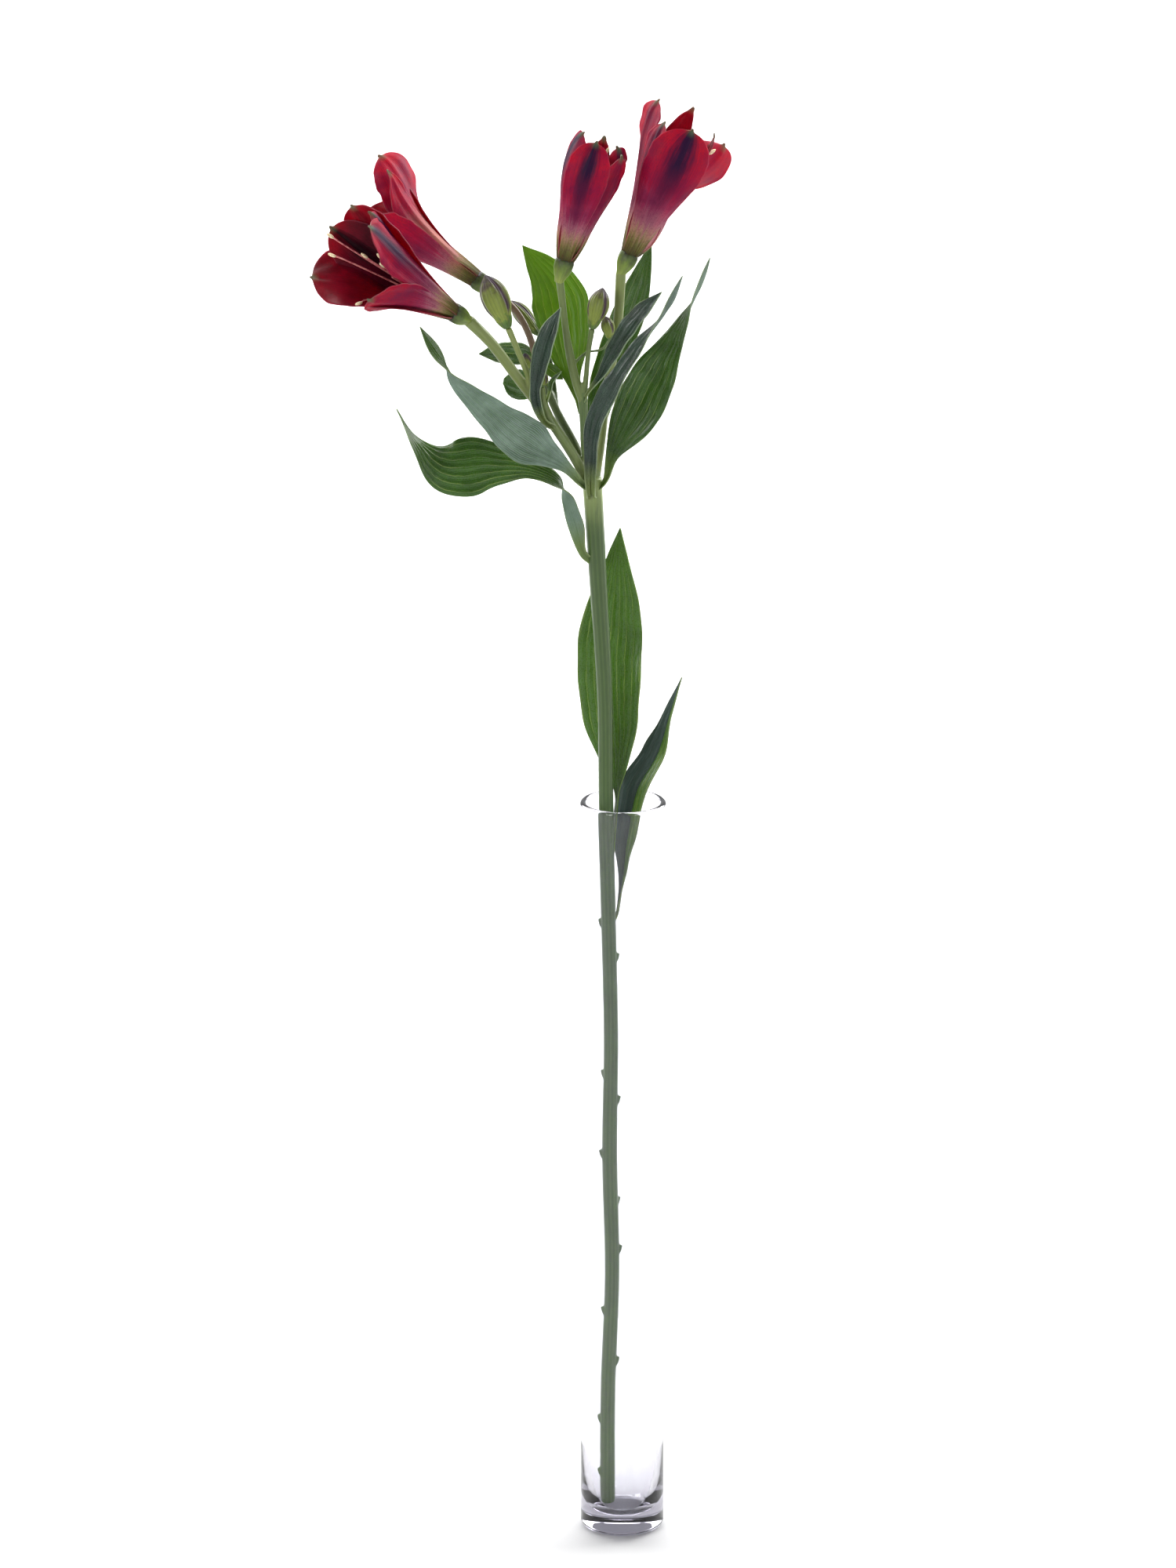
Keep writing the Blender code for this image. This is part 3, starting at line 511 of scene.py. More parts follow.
def leaf_face(name, dark, light, vein, through, pleat, gloss, vein_show, shine_through=0.34, shade=0.0):
    """One face of a leaf: its dark and light green, its veins and the light through it."""
    material, tree = new_material(name)
    where = add_node(tree, "TexCoord").outputs["Object"]
    rib, edge, along = [
        add_node(tree, "Attribute", attribute_name=mark).outputs["Fac"] for mark in ("rib", "edge", "along")]
    # patches of tone about 8 mm across
    tone = add_node(tree, "TexNoise", {"Vector": where, "Scale": 120.0, "Detail": 4.0, "Roughness": 0.6})
    # veins wander a little, so they aren't ruled lines
    sway = add_node(tree, "MapRange", {"Value": tone, 1: 0.3, 2: 0.7, 3: -0.12, 4: 0.12})
    count = add_node(tree, "Math", {0: rib, 1: sway}, operation="ADD")
    # main veins stand 2.6 mm apart and are 0.2 mm wide
    far_main = add_node(tree, "Math", {0: count, 1: 0.5}, operation="PINGPONG")
    main = add_node(tree, "MapRange", {"Value": far_main, 1: 0.01, 2: 0.075, 3: 1.0, 4: 0.0})
    # fine veins stand 0.65 mm apart
    fine_count = add_node(tree, "Math", {0: count, 1: 4.0}, operation="MULTIPLY")
    far_fine = add_node(tree, "Math", {0: fine_count, 1: 0.5}, operation="PINGPONG")
    fine = add_node(tree, "MapRange", {"Value": far_fine, 1: 0.0, 2: 0.4, 3: 1.0, 4: 0.0})
    patches = add_node(tree, "MapRange", {"Value": tone, 1: 0.35, 2: 0.65})
    ground = add_node(tree, "MixRGB", {"Fac": patches, "Color1": dark, "Color2": light})
    fine_show = add_node(tree, "Math", {0: fine, 1: pleat}, operation="MULTIPLY")
    lined = add_node(tree, "MixRGB", {"Fac": fine_show, "Color1": ground, "Color2": light})
    # each vein shows strongly in some stretches and fades in others
    come_go = add_node(tree, "TexNoise", {"Vector": where, "Scale": 90.0, "Detail": 2.0})
    strength = add_node(tree, "MapRange", {"Value": come_go, 1: 0.35, 2: 0.7, 3: 0.05, 4: vein_show})
    main_show = add_node(tree, "Math", {0: main, 1: strength}, operation="MULTIPLY")
    veined = add_node(tree, "MixRGB", {"Fac": main_show, "Color1": lined, "Color2": vein})
    # a folded blade can have one half turned away from the light: that half gets painted shade, bluish, and its
    # glow is painted dark so no light comes through
    painted_shade_half = add_node(tree, "MapRange", {"Value": rib, 1: MIDRIB, 2: MIDRIB + 0.3, 3: shade, 4: 0.0})
    shaded = add_node(tree, "MixRGB", {"Fac": painted_shade_half, "Color1": veined, "Color2": "#4c625c"})
    # the blade pales to yellow-green where it leaves the stem, and has a thin pale margin
    foot = add_node(tree, "MapRange", {"Value": along, 1: 0.02, 2: 0.13, 3: 0.7, 4: 0.0})
    rooted = add_node(tree, "MixRGB", {"Fac": foot, "Color1": shaded, "Color2": "#7c8c48"})
    rim = add_node(tree, "MapRange", {"Value": edge, 1: 0.08, 2: 0.24, 3: 0.4, 4: 0.0})
    skin_colour = add_node(tree, "MixRGB", {"Fac": rim, "Color1": rooted, "Color2": "#a9b88a"})
    grain = add_node(tree, "TexNoise", {"Vector": where, "Scale": 2600.0, "Detail": 2.0})
    rough = add_node(tree, "MapRange", {"Value": grain, 1: 0.3, 2: 0.7, 3: gloss - 0.06, 4: gloss + 0.1})
    relief = add_node(tree, "Math", {0: fine, 1: main}, operation="ADD")
    bump = add_node(tree, "Bump", {"Height": relief, "Strength": 0.5, "Distance": 0.00012})
    skin = add_node(tree, "BsdfPrincipled", {"Base Color": skin_colour, "Roughness": rough, "Normal": bump})
    glow_colour = add_node(tree, "MixRGB", {"Fac": main, "Color1": through, "Color2": vein})
    # painted shade: the light through the half turned from the light is painted dark
    dimmed = add_node(tree, "MixRGB", {"Fac": painted_shade_half, "Color1": glow_colour, "Color2": "#0c120c"})
    back_light = add_node(tree, "BsdfTranslucent", {"Color": dimmed, "Normal": bump})
    both = add_node(tree, "MixShader", {"Fac": shine_through, 1: skin, 2: back_light})
    add_node(tree, "OutputMaterial", {"Surface": both})
    return material


FACES = {
    "silver": leaf_face("leaf_wax_silver", "#3f5448", "#7f9288", "#a0afa4", "#7fa52a", 0.85, 0.4, 0.4),
    "green": leaf_face("leaf_skin_green", "#132710", "#33501f", "#9db060", "#7fa414", 0.35, 0.28, 0.75, 0.3),
    # painted shade: a darker blue-green copy of the green face, with a painted bluish sheen
    "blue_painted_shade": leaf_face("leaf_skin_blue_green_painted_shade", "#101f19", "#2c3f36", "#6b8270", "#4c7228", 0.4, 0.3, 0.4, 0.2),
    # painted light: a brighter yellow-green copy of the green face for leaves with the lamps behind them
    "sunny": leaf_face("leaf_skin_painted_backlight", "#263f14", "#4d6c22", "#b0c060", "#93b424", 0.35, 0.34, 0.8, 0.5),
    # painted shade on the half of a folded leaf turned from the light
    "folded_painted_shade": leaf_face(
        "leaf_skin_half_painted_shade", "#1d3410", "#3a561c", "#c2cc60", "#86a81c", 0.35, 0.34, 0.9, 0.42, 0.9),
}
print("leaf faces:", list(FACES))

# %% [markdown]
# ## How a leaf bends
# A leaf is described by its midrib, half its width at even steps, and its turn: 0 degrees where its face looks
# at the viewer, 90 where it is edge-on. Alstroemeria leaves twist at their foot and often again near the tip.
# The fold lifts both halves off the midrib. Shallow pleats between the main veins and a slow wave of the margin
# are added as real shape. Solidify then gives the sheet 0.4 mm and puts the other face's material behind.

# %% Leaf blade
TOWARDS_VIEWER = np.array([0.0, -0.978, 0.208])
LEAF_THICKNESS = 0.4
MAIN_VEINS = 2.6  # mm between main veins where the blade is widest
USUAL_FOLD = 10  # degrees that each half is lifted off the midrib
FOOT_FOLD = 34  # more degrees at the foot, which clasps the stem
PLEAT = 0.2  # height of the pleats between main veins
NICKS = 0.22  # height of the small waves of the margin


def root_of(start):
    """The place inside the nearest stalk where a leaf that starts beside it is rooted."""
    start = np.array(start)
    best = None
    for points, radii, _ in GROWN:
        route, length = even_route(points)
        line = route(np.linspace(0, 1, int(2 * length)))
        gap = np.linalg.norm(line - start, axis=1)
        if best is None or gap.min() < best[0]:
            nearest = int(gap.argmin())
            best = gap.min(), line[nearest], line[max(nearest - 8, 0)], max(radii)
    _, centre, below, radius = best
    return below + unit(start - centre) * radius * 0.45


def leaf_place(leaf, seed):
    """The formula that bends a grid into a leaf's middle surface."""
    midrib = [root_of(leaf["midrib"][0]), *leaf["midrib"]]
    foot = np.linalg.norm(np.subtract(midrib[1], midrib[0]))
    route, length = even_route(midrib)
    foot = foot / length
    widest = max(leaf["halves"])
    wave, waves = leaf.get("wave", 0.0), leaf.get("waves", 2.0)

    def place(u, v):
        here = route(u)
        along = unit(route(u + 0.035) - route(u - 0.035))
        u = np.clip((u - foot) / (1 - foot), 0, 1)
        fold = np.radians(leaf.get("fold", USUAL_FOLD) + FOOT_FOLD * np.clip(1 - u / 0.16, 0, 1))
        side = unit(np.cross(along, TOWARDS_VIEWER))
        face = np.cross(side, along)
        turn = np.radians(sampled(leaf["turns"], u))[:, None]
        width = side * np.cos(turn) + face * np.sin(turn)
        normal = np.cross(width, along)
        half = np.maximum(0.06, sampled(leaf["halves"], u))
        half = half * (1 + 0.02 * np.sin(19 * u + seed) + 0.012 * np.sin(47 * u + 2 * seed))
        narrow = np.minimum(1.0, half / 3)
        ripple = wave * np.sin(2 * np.pi * waves * u) * v * abs(v) * narrow
        ripple = ripple + NICKS * np.sin(31 * u + 1.7 * seed + 1.4 * np.sign(v)) * abs(v) ** 3 * narrow
        rib = v * widest / MAIN_VEINS
        pleat = -PLEAT * np.cos(2 * np.pi * rib) * np.minimum(1, half / widest * 1.3) * narrow
        lift = abs(v) * half * np.sin(fold) + ripple + pleat
        spots = here + width * (v * half * np.cos(fold))[:, None] + normal * lift[:, None]
        return spots, {"along": u, "rib": rib + MIDRIB, "edge": (1 - abs(v)) * half}

    return place, length


def build_leaf(node, leaf, seed):
    """A thin veined blade in place of one CAD leaf."""
    place, length = leaf_place(leaf, seed)
    along = int(min(130, max(24, length / 0.75)))
    across = int(min(44, max(12, 4 * max(leaf["halves"]))))
    faces = [FACES[face] for face in leaf.get("faces", ("silver", "green"))]  # behind and in front
    piece = to_object(node + "_blade", [shaped_grid(along, across, place)], faces)
    thicken(piece, LEAF_THICKNESS)
    stand_in(piece, node)


print("a blade has a pleat every", MAIN_VEINS, "mm")

# %% [markdown]
# ## The leaves below the flowers
# Two leaves are left low on the stem. One stands behind it, broad and waved, and one leans out of the tube,
# folded along its midrib. Under the ring of leaves a third sweeps out to the left, turned over at its foot. A
# leaf's points and half widths are in millimetres, and its turns and fold in degrees.

# %% Low leaves
LOW_LEAVES = {
    "leaf_low": dict(
        midrib=[(-1.5, -5.6, 219), (0.2, -3.0, 231), (1.4, -0.2, 243), (4.6, 2.0, 258), (11.3, 3.6, 270),
                (15.6, 4.0, 284), (19.2, 4.0, 296)],
        halves=[0.8, 1.2, 3.2, 5.4, 6.0, 6.0, 5.4, 3.6, 2.0, 0.1],
        turns=[80, 50, 40, 38, 38, 40, 42, 50, 60, 70], fold=24, faces=("folded_painted_shade", "folded_painted_shade"),
    ),
    "leaf_low_back": dict(
        midrib=[(-3.0, -4.0, 238), (-2.0, -2.6, 258), (-3.0, -1.6, 273), (-4.3, -0.2, 290), (-4.3, 0.4, 309),
                (-2.6, -1.0, 329), (-1.1, -3.0, 348.5)],
        halves=[0.8, 0.8, 1.0, 4.6, 8.4, 10.2, 10.8, 10.4, 9.4, 6.8, 3.4, 0.1], turns=[60, 30, 0, 0],
        fold=6, wave=1.0, waves=2.4, faces=("sunny", "green"),
    ),
    "leaf_below_whorl": dict(
        midrib=[(-13.2, -10.4, 343), (-16.0, -11.0, 353.5), (-20.1, -10.0, 364.6), (-29.5, -8.5, 369.6),
                (-43.0, -8.0, 370.9), (-57.2, -9.0, 370.6), (-66.5, -8.0, 378.2), (-73.2, -6.0, 389.1)],
        halves=[1.6, 2.7, 2.3, 2.4, 3.4, 6.4, 9.2, 8.6, 4.4, 2.2, 0.1],
        turns=[20, 0, 30, 150, 180, 185, 180, 175, 150, 105, 100], fold=6, faces=("green", "silver"),
    ),
}
for seed, (node, leaf) in enumerate(LOW_LEAVES.items()):
    build_leaf(node, leaf, seed)

# %% [markdown]
# ## The ring of leaves
# Four leaves leave the stem at one height, under the flower stalks. Their feet are pale and narrow and hug the
# stem. The left one shows its silvery face, the others their green one, and each tip twists to show the other.

# %% Leaves of the whorl
WHORL_LEAVES = {
    "leaf_whorl_left": dict(
        midrib=[(-14.4, -13.0, 366.6), (-19.8, -15.0, 373.2), (-32.6, -18.8, 382.8), (-44.5, -22.5, 394.0),
                (-53.6, -23.0, 402.7), (-57.2, -22.4, 408.0), (-65.2, -20.0, 419.7)],
        halves=[1.6, 2.2, 4.4, 7.5, 7.2, 5.4, 4.2, 3.3, 2.4, 1.9, 0.1],
        turns=[-20, 5, 0, 0, 5, 10, 20, 40, 100, 150, 170], faces=("green", "silver"),
    ),
    "leaf_whorl_right": dict(
        midrib=[(-5.5, -10.6, 366.2), (-3.4, -10.2, 375.2), (3.4, -9.5, 387.8), (10.6, -8.5, 402.2),
                (17.2, -6.8, 414.2), (23.7, -5.0, 427.5), (27.6, -3.0, 438.3)],
        halves=[1.5, 2.1, 5.2, 7.8, 8.0, 6.8, 4.8, 3.0, 2.2, 1.5, 0.1],
        turns=[40, 5, 0, 0, 5, 10, 20, 40, 85, 120, 140],
    ),
    "leaf_whorl_front": dict(
        midrib=[(-10.6, -13.1, 363.5), (-10.4, -14.4, 373), (-9.3, -18.4, 386), (-3.0, -24.0, 401),
                (5.0, -27.4, 415), (13.2, -28.5, 426.5), (18.5, -28.0, 438.3)],
        halves=[2.2, 2.3, 2.8, 4.2, 4.8, 4.4, 3.8, 3.0, 2.2, 1.6, 0.1],
        turns=[0, 15, 35, 46, 50, 52, 54, 58, 90, 130, 140], fold=16, faces=("silver", "blue_painted_shade"),
    ),
    "leaf_whorl_back": dict(
        midrib=[(-9.0, -5.0, 364.5), (-9.4, -1.2, 375), (-7.4, 3.4, 390), (-2.8, 7.4, 405), (3.0, 10.2, 420.5),
                (9.0, 12.0, 439.6)],
        halves=[1.5, 2.0, 3.0, 4.2, 5.0, 5.4, 5.4, 4.6, 2.8, 0.1], turns=[0, 0],
    ),
}
for seed, (node, leaf) in enumerate(WHORL_LEAVES.items(), 10):
    build_leaf(node, leaf, seed)

# %% [markdown]
# ## The small leaves among the stalks
# Where a flower stalk forks it carries a bract, a leaf the size of a fingernail. They are built as the large
# leaves are, with shorter midribs.

# %% Bracts
BRACTS = {
    "bract_right": dict(
        midrib=[(-11.0, -11.7, 396), (-6.6, -14.8, 403.5), (-0.2, -17.0, 415.5), (5.6, -17.6, 423.6),
                (12.0, -17.0, 430.4)],
        halves=[0.9, 1.5, 2.8, 3.5, 3.5, 2.7, 0.1], turns=[45, 35], fold=18, faces=("silver", "blue_painted_shade"),
    ),
    "bract_back": dict(
        midrib=[(-14.4, -6.9, 392.2), (-17.2, -0.6, 401), (-18.9, 4.0, 412.5), (-22.4, 8.6, 426),
                (-32.6, 12.0, 438.8)],
        halves=[1.5, 2.8, 5.8, 8.2, 9.2, 7.6, 4.4, 0.1], turns=[0, 0], fold=8, faces=("sunny", "sunny"),
    ),
    "bract_left_back": dict(
        midrib=[(-28.8, 2.9, 402.4), (-33.0, 6.0, 404.2), (-42.2, 10.0, 403.5), (-46.9, 11.0, 403.0)],
        halves=[1.4, 3.4, 3.6, 2.6, 0.1], turns=[0, 0],
    ),
    "bract_left_under": dict(
        midrib=[(-27.8, 0.4, 395.6), (-33.0, 3.0, 394.8), (-38.8, 5.5, 395.4)],
        halves=[3.4, 4.6, 4.9, 4.2, 0.8], turns=[0, 0],
    ),
    "bract_left_front": dict(
        midrib=[(-26.0, -15.2, 388), (-28.3, -16.4, 396), (-26.9, -18.8, 406), (-24.2, -20.2, 416.5),
                (-20.2, -20.0, 426)],
        halves=[1.6, 1.8, 2.0, 2.8, 3.5, 3.4, 2.4, 0.1], turns=[0, 15, 25, 25, 25], fold=20,
        faces=("silver", "blue_painted_shade"),
    ),
    "bract_left_inner": dict(
        midrib=[(-25.3, -0.8, 402.0), (-22.8, -2.8, 400.7), (-19.6, -3.8, 398.2)],
        halves=[1.2, 2.0, 1.8, 0.1], turns=[0, 0], faces=("sunny", "sunny"),
    ),
    "bract_bud": dict(
        midrib=[(-23.8, -15.6, 397.0), (-23.2, -16.0, 400.6), (-20.0, -16.6, 404.2)],
        halves=[0.7, 0.8, 0.7, 0.1], turns=[20, 20],
    ),
}
for seed, (node, leaf) in enumerate(BRACTS.items(), 20):
    build_leaf(node, leaf, seed)

# %% [markdown]
# ## Where a flower stands
# Each floret has an axis from the end of its stalk. The green ovary sits first, a ribbed knob about 6 mm long,
# and the six tepals grow from its top. The axis, the direction towards the viewer and the one to the side make
# a small frame, in which all of the floret's pieces are placed.

# %% Florets
OVARY_LENGTH = 6.0
TEPAL_FOOT = 6.7  # height of the tepals' foot over the end of the stalk


class Bloom:
    """A flower's axes, and points round them."""

    def __init__(self, foot, axis):
        self.foot = np.array(foot, float)
        self.axis = unit(np.array(axis, float))
        self.front = unit(TOWARDS_VIEWER - self.axis * (TOWARDS_VIEWER @ self.axis))
        self.side = np.cross(self.axis, self.front)

    def outward(self, degrees):
        """Directions away from the axis, 0 at the viewer's side."""
        turn = np.radians(np.atleast_1d(degrees))[:, None]
        return self.front * np.cos(turn) + self.side * np.sin(turn)

    def at(self, heights, degrees=0.0, radii=0.0):
        """Points at heights up the axis, at a side and distance from it."""
        heights, degrees, radii = np.broadcast_arrays(np.atleast_1d(heights), degrees, radii)
        return self.foot + self.axis * heights[:, None] + self.outward(degrees) * radii[:, None]


# %% [markdown]
# Each floret is a short list. A tepal has its side in degrees, its length, its half width, how far it leans out
# from foot to tip, how flat it lies (a smaller number is flatter), the twist that turns its outside to the
# viewer, and its middle band: above 0 it is dark, and below 0 it is cream. A stamen has its side, its length
# and how far it spreads for that length. Some florets have a stamen that has grown ahead.

# %% Tepals and stamens of each floret
def even_stamens(count, first, length, spread):
    """Stamens that stand 60 degrees apart."""
    return [(60 * i + first, length, spread) for i in range(count)]


FLORETS = {
    "front_left": dict(
        bloom=Bloom((-49.8, -19.2, 421.6), (-0.715, -0.45, 0.535)),
        outer=[
            (50, 51, 8.5, [10, 13, 14, 16], 1.0, 0, 1.0),
            (130, 49, 10.0, [10, 15, 20, 24], 0.8, 0, 0.3),
            (232, 49, 13.0, [10, 10, 12, 26, 38], 0.5, 0, 0.1)],
        inner=[
            (90, 48, 7.5, [6, 15, 19, 20], 1.0, 40, 0.8),
            (167, 49, 9.0, [6, 13, 21, 28], 0.6, 0, 0.9),
            (318, 39, 8.6, [6, 16, 24, 28], 0.7, -8, 0.0)],
        stamens=[(290, 34, 0.4), (210, 45, 0.16), (175, 45, 0.3), (30, 33, 0.1), (100, 33, 0.1), (160, 36, 0.1)]),
    "back_left": dict(
        bloom=Bloom((-42.3, 6.2, 424.9), (-0.80, 0.17, 0.575)),
        outer=[
            (96, 51, 10.5, [4, 2, 18, 26, 2], 0.9, 55, -0.5),
            (200, 44, 8.5, [6, 14, 18], 1.0, 0, 0.5),
            (320, 42, 8.5, [6, 14, 18], 1.0, 0, 0.4)],
        inner=[
            (50, 46, 6.0, [4, 12, 46], 1.0, 0, -1.0),
            (135, 48, 5.5, [6, 8, 18, 22, 8], 1.0, 0, 0.5),
            (255, 42, 5.5, [6, 13, 16], 1.0, 0, 0.5)],
        stamens=even_stamens(6, 30, 31, 0.05)),
    "centre": dict(
        bloom=Bloom((-20.6, -12.0, 433.3), (0.28, 0.03, 0.96)),
        outer=[
            (352, 42.5, 7.2, [18, 12, 18, -2, -20], 1.0, 0, 1.0),
            (248, 42.5, 9.5, [20, 12, 16, -5, -26], 1.0, -45, 1.0),
            (108, 41, 9.0, [20, 11, 16, -5, -24], 1.0, 50, 0.8)],
        inner=[
            (55, 39.5, 7.5, [14, 14, 2], 1.0, 0, 0.3),
            (162, 42, 5.5, [8, 4, -14], 1.0, 0, 0.4),
            (295, 37, 6.5, [10, 12, -18], 1.0, 0, -0.5)],
        stamens=[(120, 36, 0.08), *even_stamens(5, 0, 29, 0.04)]),
    "right": dict(
        bloom=Bloom((-0.9, -4.0, 433.6), (0.41, 0.08, 0.90)),
        outer=[
            (10, 47, 10.5, [18, 10, 16, 4, -12], 0.9, 0, 1.0),
            (134, 47, 13.0, [40, 10, 16, 34, 6], 0.7, 92, 0.0),
            (252, 50, 8.5, [14, 14, 16, -4], 1.0, -50, 0.45)],
        inner=[
            (100, 47, 6.5, [8, 12, 2], 1.0, 0, -0.5),
            (203, 52, 5.5, [8, 6, -18], 1.0, 0, 0.1),
            (308, 45, 7.5, [10, 14, 0], 1.0, 0, 0.8)],
        stamens=[(120, 39, 0.32), *even_stamens(5, 180, 33, 0.1)]),
}
print("florets:", list(FLORETS))

# %% [markdown]
# ## The skin of a tepal
# A tepal is petal and sepal in one. Its outside starts green and cream at the foot, turns rose and then red,
# and has a dusky purple band up its middle that ends in a small green point. On some the middle is cream low
# down instead. Its inside is a deep velvety crimson, painted darker still as painted shade for the deep throat.
# The skin is a layer of tiny domed cells, which give a satin look with hardly any shine. Light from behind makes
# the thin red parts glow, so a Translucent shader is mixed in again. The veins are about 0.8 mm apart.

# %% Tepal materials
def tepal_face(name, stops, blush_colour, band_colour, band_reach, through, shine_through, rough):
    """One face of a tepal: its colours from foot to tip, its middle band, its margin and its veins."""
    material, tree = new_material(name)
    where = add_node(tree, "TexCoord").outputs["Object"]
    along, across, rib, margin, band, tip = [
        add_node(tree, "Attribute", attribute_name=mark).outputs["Fac"]
        for mark in ("along", "across", "rib", "edge", "band", "tip")]
    # patches of tone 5 to 10 mm across, and specks 0.6 mm across
    tone = add_node(tree, "TexNoise", {"Vector": where, "Scale": 130.0, "Detail": 4.0, "Roughness": 0.6})
    specks = add_node(tree, "TexNoise", {"Vector": where, "Scale": 1700.0, "Detail": 3.0, "Roughness": 0.7})
    # streaks follow the veins, which stand 0.8 mm apart, for about a third of the length
    lines = add_node(tree, "CombineXYZ", {"X": rib, "Y": along})
    stretch = add_node(tree, "Mapping", {"Vector": lines, "Scale": (0.9, 3.5, 1.0)})
    streak = add_node(tree, "TexNoise", {"Vector": stretch, "Scale": 1.0, "Detail": 4.0, "Roughness": 0.6})
    shift = add_node(tree, "MapRange", {"Value": streak, 1: 0.3, 2: 0.7, 3: -0.07, 4: 0.07})
    reach = add_node(tree, "Math", {0: along, 1: shift}, operation="ADD")
    ground = add_node(tree, "ValToRGB", {"Fac": reach}, stops=stops)
    patches = add_node(tree, "MapRange", {"Value": tone, 1: 0.42, 2: 0.66, 3: 0.0, 4: 0.7})
    above_foot = add_node(tree, "MapRange", {"Value": reach, 1: 0.15, 2: 0.4})
    blush = add_node(tree, "Math", {0: patches, 1: above_foot}, operation="MULTIPLY")
    blushed = add_node(tree, "MixRGB", {"Fac": blush, "Color1": ground, "Color2": blush_colour})
    vein_far = add_node(tree, "Math", {0: rib, 1: 0.5}, operation="PINGPONG")
    vein = add_node(tree, "MapRange", {"Value": vein_far, 1: 0.0, 2: 0.3, 3: 0.22, 4: 0.0})
    veined = add_node(tree, "MixRGB", {"Fac": vein, "Color1": blushed, "Color2": band_colour})
    dark_speck = add_node(tree, "MapRange", {"Value": specks, 1: 0.48, 2: 0.72, 3: 0.0, 4: 0.5})
    specked = add_node(tree, "MixRGB", {"Fac": dark_speck, "Color1": veined, "Color2": band_colour})
    # some tepals have a pale cream middle in place of a dark band: their band is below 0
    pale = add_node(tree, "MapRange", {"Value": band, 1: 0.0, 2: -1.0})
    low_down = add_node(tree, "MapRange", {"Value": reach, 1: 0.68, 2: 0.3})
    cream_part = add_node(tree, "Math", {0: low_down, 1: above_foot}, operation="MULTIPLY")
    cream = add_node(tree, "Math", {0: pale, 1: cream_part}, operation="MULTIPLY")
    creamed = add_node(tree, "MixRGB", {"Fac": cream, "Color1": specked, "Color2": "#e2aa94"})
    # the middle band frays into streaks at its sides and fades towards the foot
    off_middle = add_node(tree, "Math", {0: across}, operation="ABSOLUTE")
    frayed = add_node(tree, "MapRange", {"Value": streak, 1: 0.3, 2: 0.7, 3: -0.14, 4: 0.14})
    edge = add_node(tree, "Math", {0: off_middle, 1: frayed}, operation="ADD")
    inside_band = add_node(tree, "MapRange", {"Value": edge, 1: 0.0, 2: band_reach, 3: 1.0, 4: 0.0},
                           interpolation_type="SMOOTHERSTEP")
    upper = add_node(tree, "MapRange", {"Value": reach, 1: 0.22, 2: 0.72, 3: 0.12, 4: 1.0})
    band_here = add_node(tree, "Math", {0: inside_band, 1: upper}, operation="MULTIPLY")
    band_show = add_node(tree, "Math", {0: band_here, 1: band}, operation="MULTIPLY", use_clamp=True)
    banded = add_node(tree, "MixRGB", {"Fac": band_show, "Color1": creamed, "Color2": band_colour})
    # the last fraction of a millimetre before the margin is thin and pale, and its pale pink also paints the light
    # glowing through that thin edge
    rim = add_node(tree, "MapRange", {"Value": margin, 1: 0.1, 2: 0.4, 3: 0.25, 4: 0.0})
    pale_rim_and_painted_glow = add_node(tree, "MixRGB", {"Fac": rim, "Color1": banded, "Color2": "#d06a7c"})
    colour = add_node(tree, "MixRGB", {"Fac": tip, "Color1": pale_rim_and_painted_glow, "Color2": "#66735a"})
    relief = add_node(tree, "Math", {0: streak, 1: vein}, operation="ADD")
    # the domed cells are far too fine to show, so they are drawn 0.4 mm across
    cells = add_node(tree, "TexNoise", {"Vector": where, "Scale": 2600.0, "Detail": 2.0})
    cell_bump = add_node(tree, "Bump", {"Height": cells, "Strength": 0.3, "Distance": 0.00007})
    bump = add_node(tree, "Bump", {"Height": relief, "Strength": 0.5, "Distance": 0.00012, "Normal": cell_bump})
    skin = add_node(tree, "BsdfPrincipled", {
        "Base Color": colour, "Roughness": rough, "Normal": bump, "Specular IOR Level": 0.14})
    lit = add_node(tree, "MixRGB", {"Fac": 0.5, "Color1": colour, "Color2": through})
    dimmed = add_node(tree, "MixRGB", {"Fac": band_show, "Color1": lit, "Color2": band_colour})
    back_light = add_node(tree, "BsdfTranslucent", {"Color": dimmed, "Normal": bump})
    both = add_node(tree, "MixShader", {"Fac": shine_through, 1: skin, 2: back_light})
    add_node(tree, "OutputMaterial", {"Surface": both})
    return material


outside = tepal_face("tepal_outside_red", [
    (0.0, "#3f5226"), (0.09, "#6c7c3e"), (0.14, "#96905e"), (0.19, "#c09c80"), (0.27, "#c2788a"),
    (0.38, "#bc4268"), (0.54, "#b41644"), (1.0, "#cc1632")], "#7c1048", "#34123c", 0.7, "#ff3046", 0.5, 0.5)
# painted shade: the inside's crimsons from 0.3 up are darkened for the shade in the throat
inside = tepal_face("tepal_inside_crimson_painted_shade", [
    (0.0, "#b08a78"), (0.18, "#a04a5c"), (0.3, "#5c0a24"), (0.5, "#5a0a22"), (0.8, "#700a24"), (1.0, "#8c1028")],
    "#380414", "#1c0610", 0.4, "#d01430", 0.32, 0.4)
print("tepal faces:", outside.name, inside.name)

# %% [markdown]
# ## How a tepal is cut and bent
# An outer tepal has a narrow claw and a broad round top with a small point, and an inner one is slimmer. Both
# start round the ovary, lean out along the throat and curl in across, and their margins are ruffled and finely
# nicked. All of this is one formula on a grid. The six of a floret are one piece, because they share a foot.

# %% Tepal shape
TEPAL_THICKNESS = 0.32
TEPAL_VEINS = 0.8  # mm between veins
OUTER_FOOT, INNER_FOOT = 2.7, 1.9  # distance of a tepal's foot from the axis
LEAN_STEPS = 120
RUFFLE = 0.6  # the slow wave of a margin
FRILL = 0.3  # the quick wave of a margin
SOFT_FOLD, FINE_FOLD = 0.22, 0.09  # creases over the face
KEEL = 0.35  # the raised middle vein
HOOD = 1.1  # how far the tip bends in


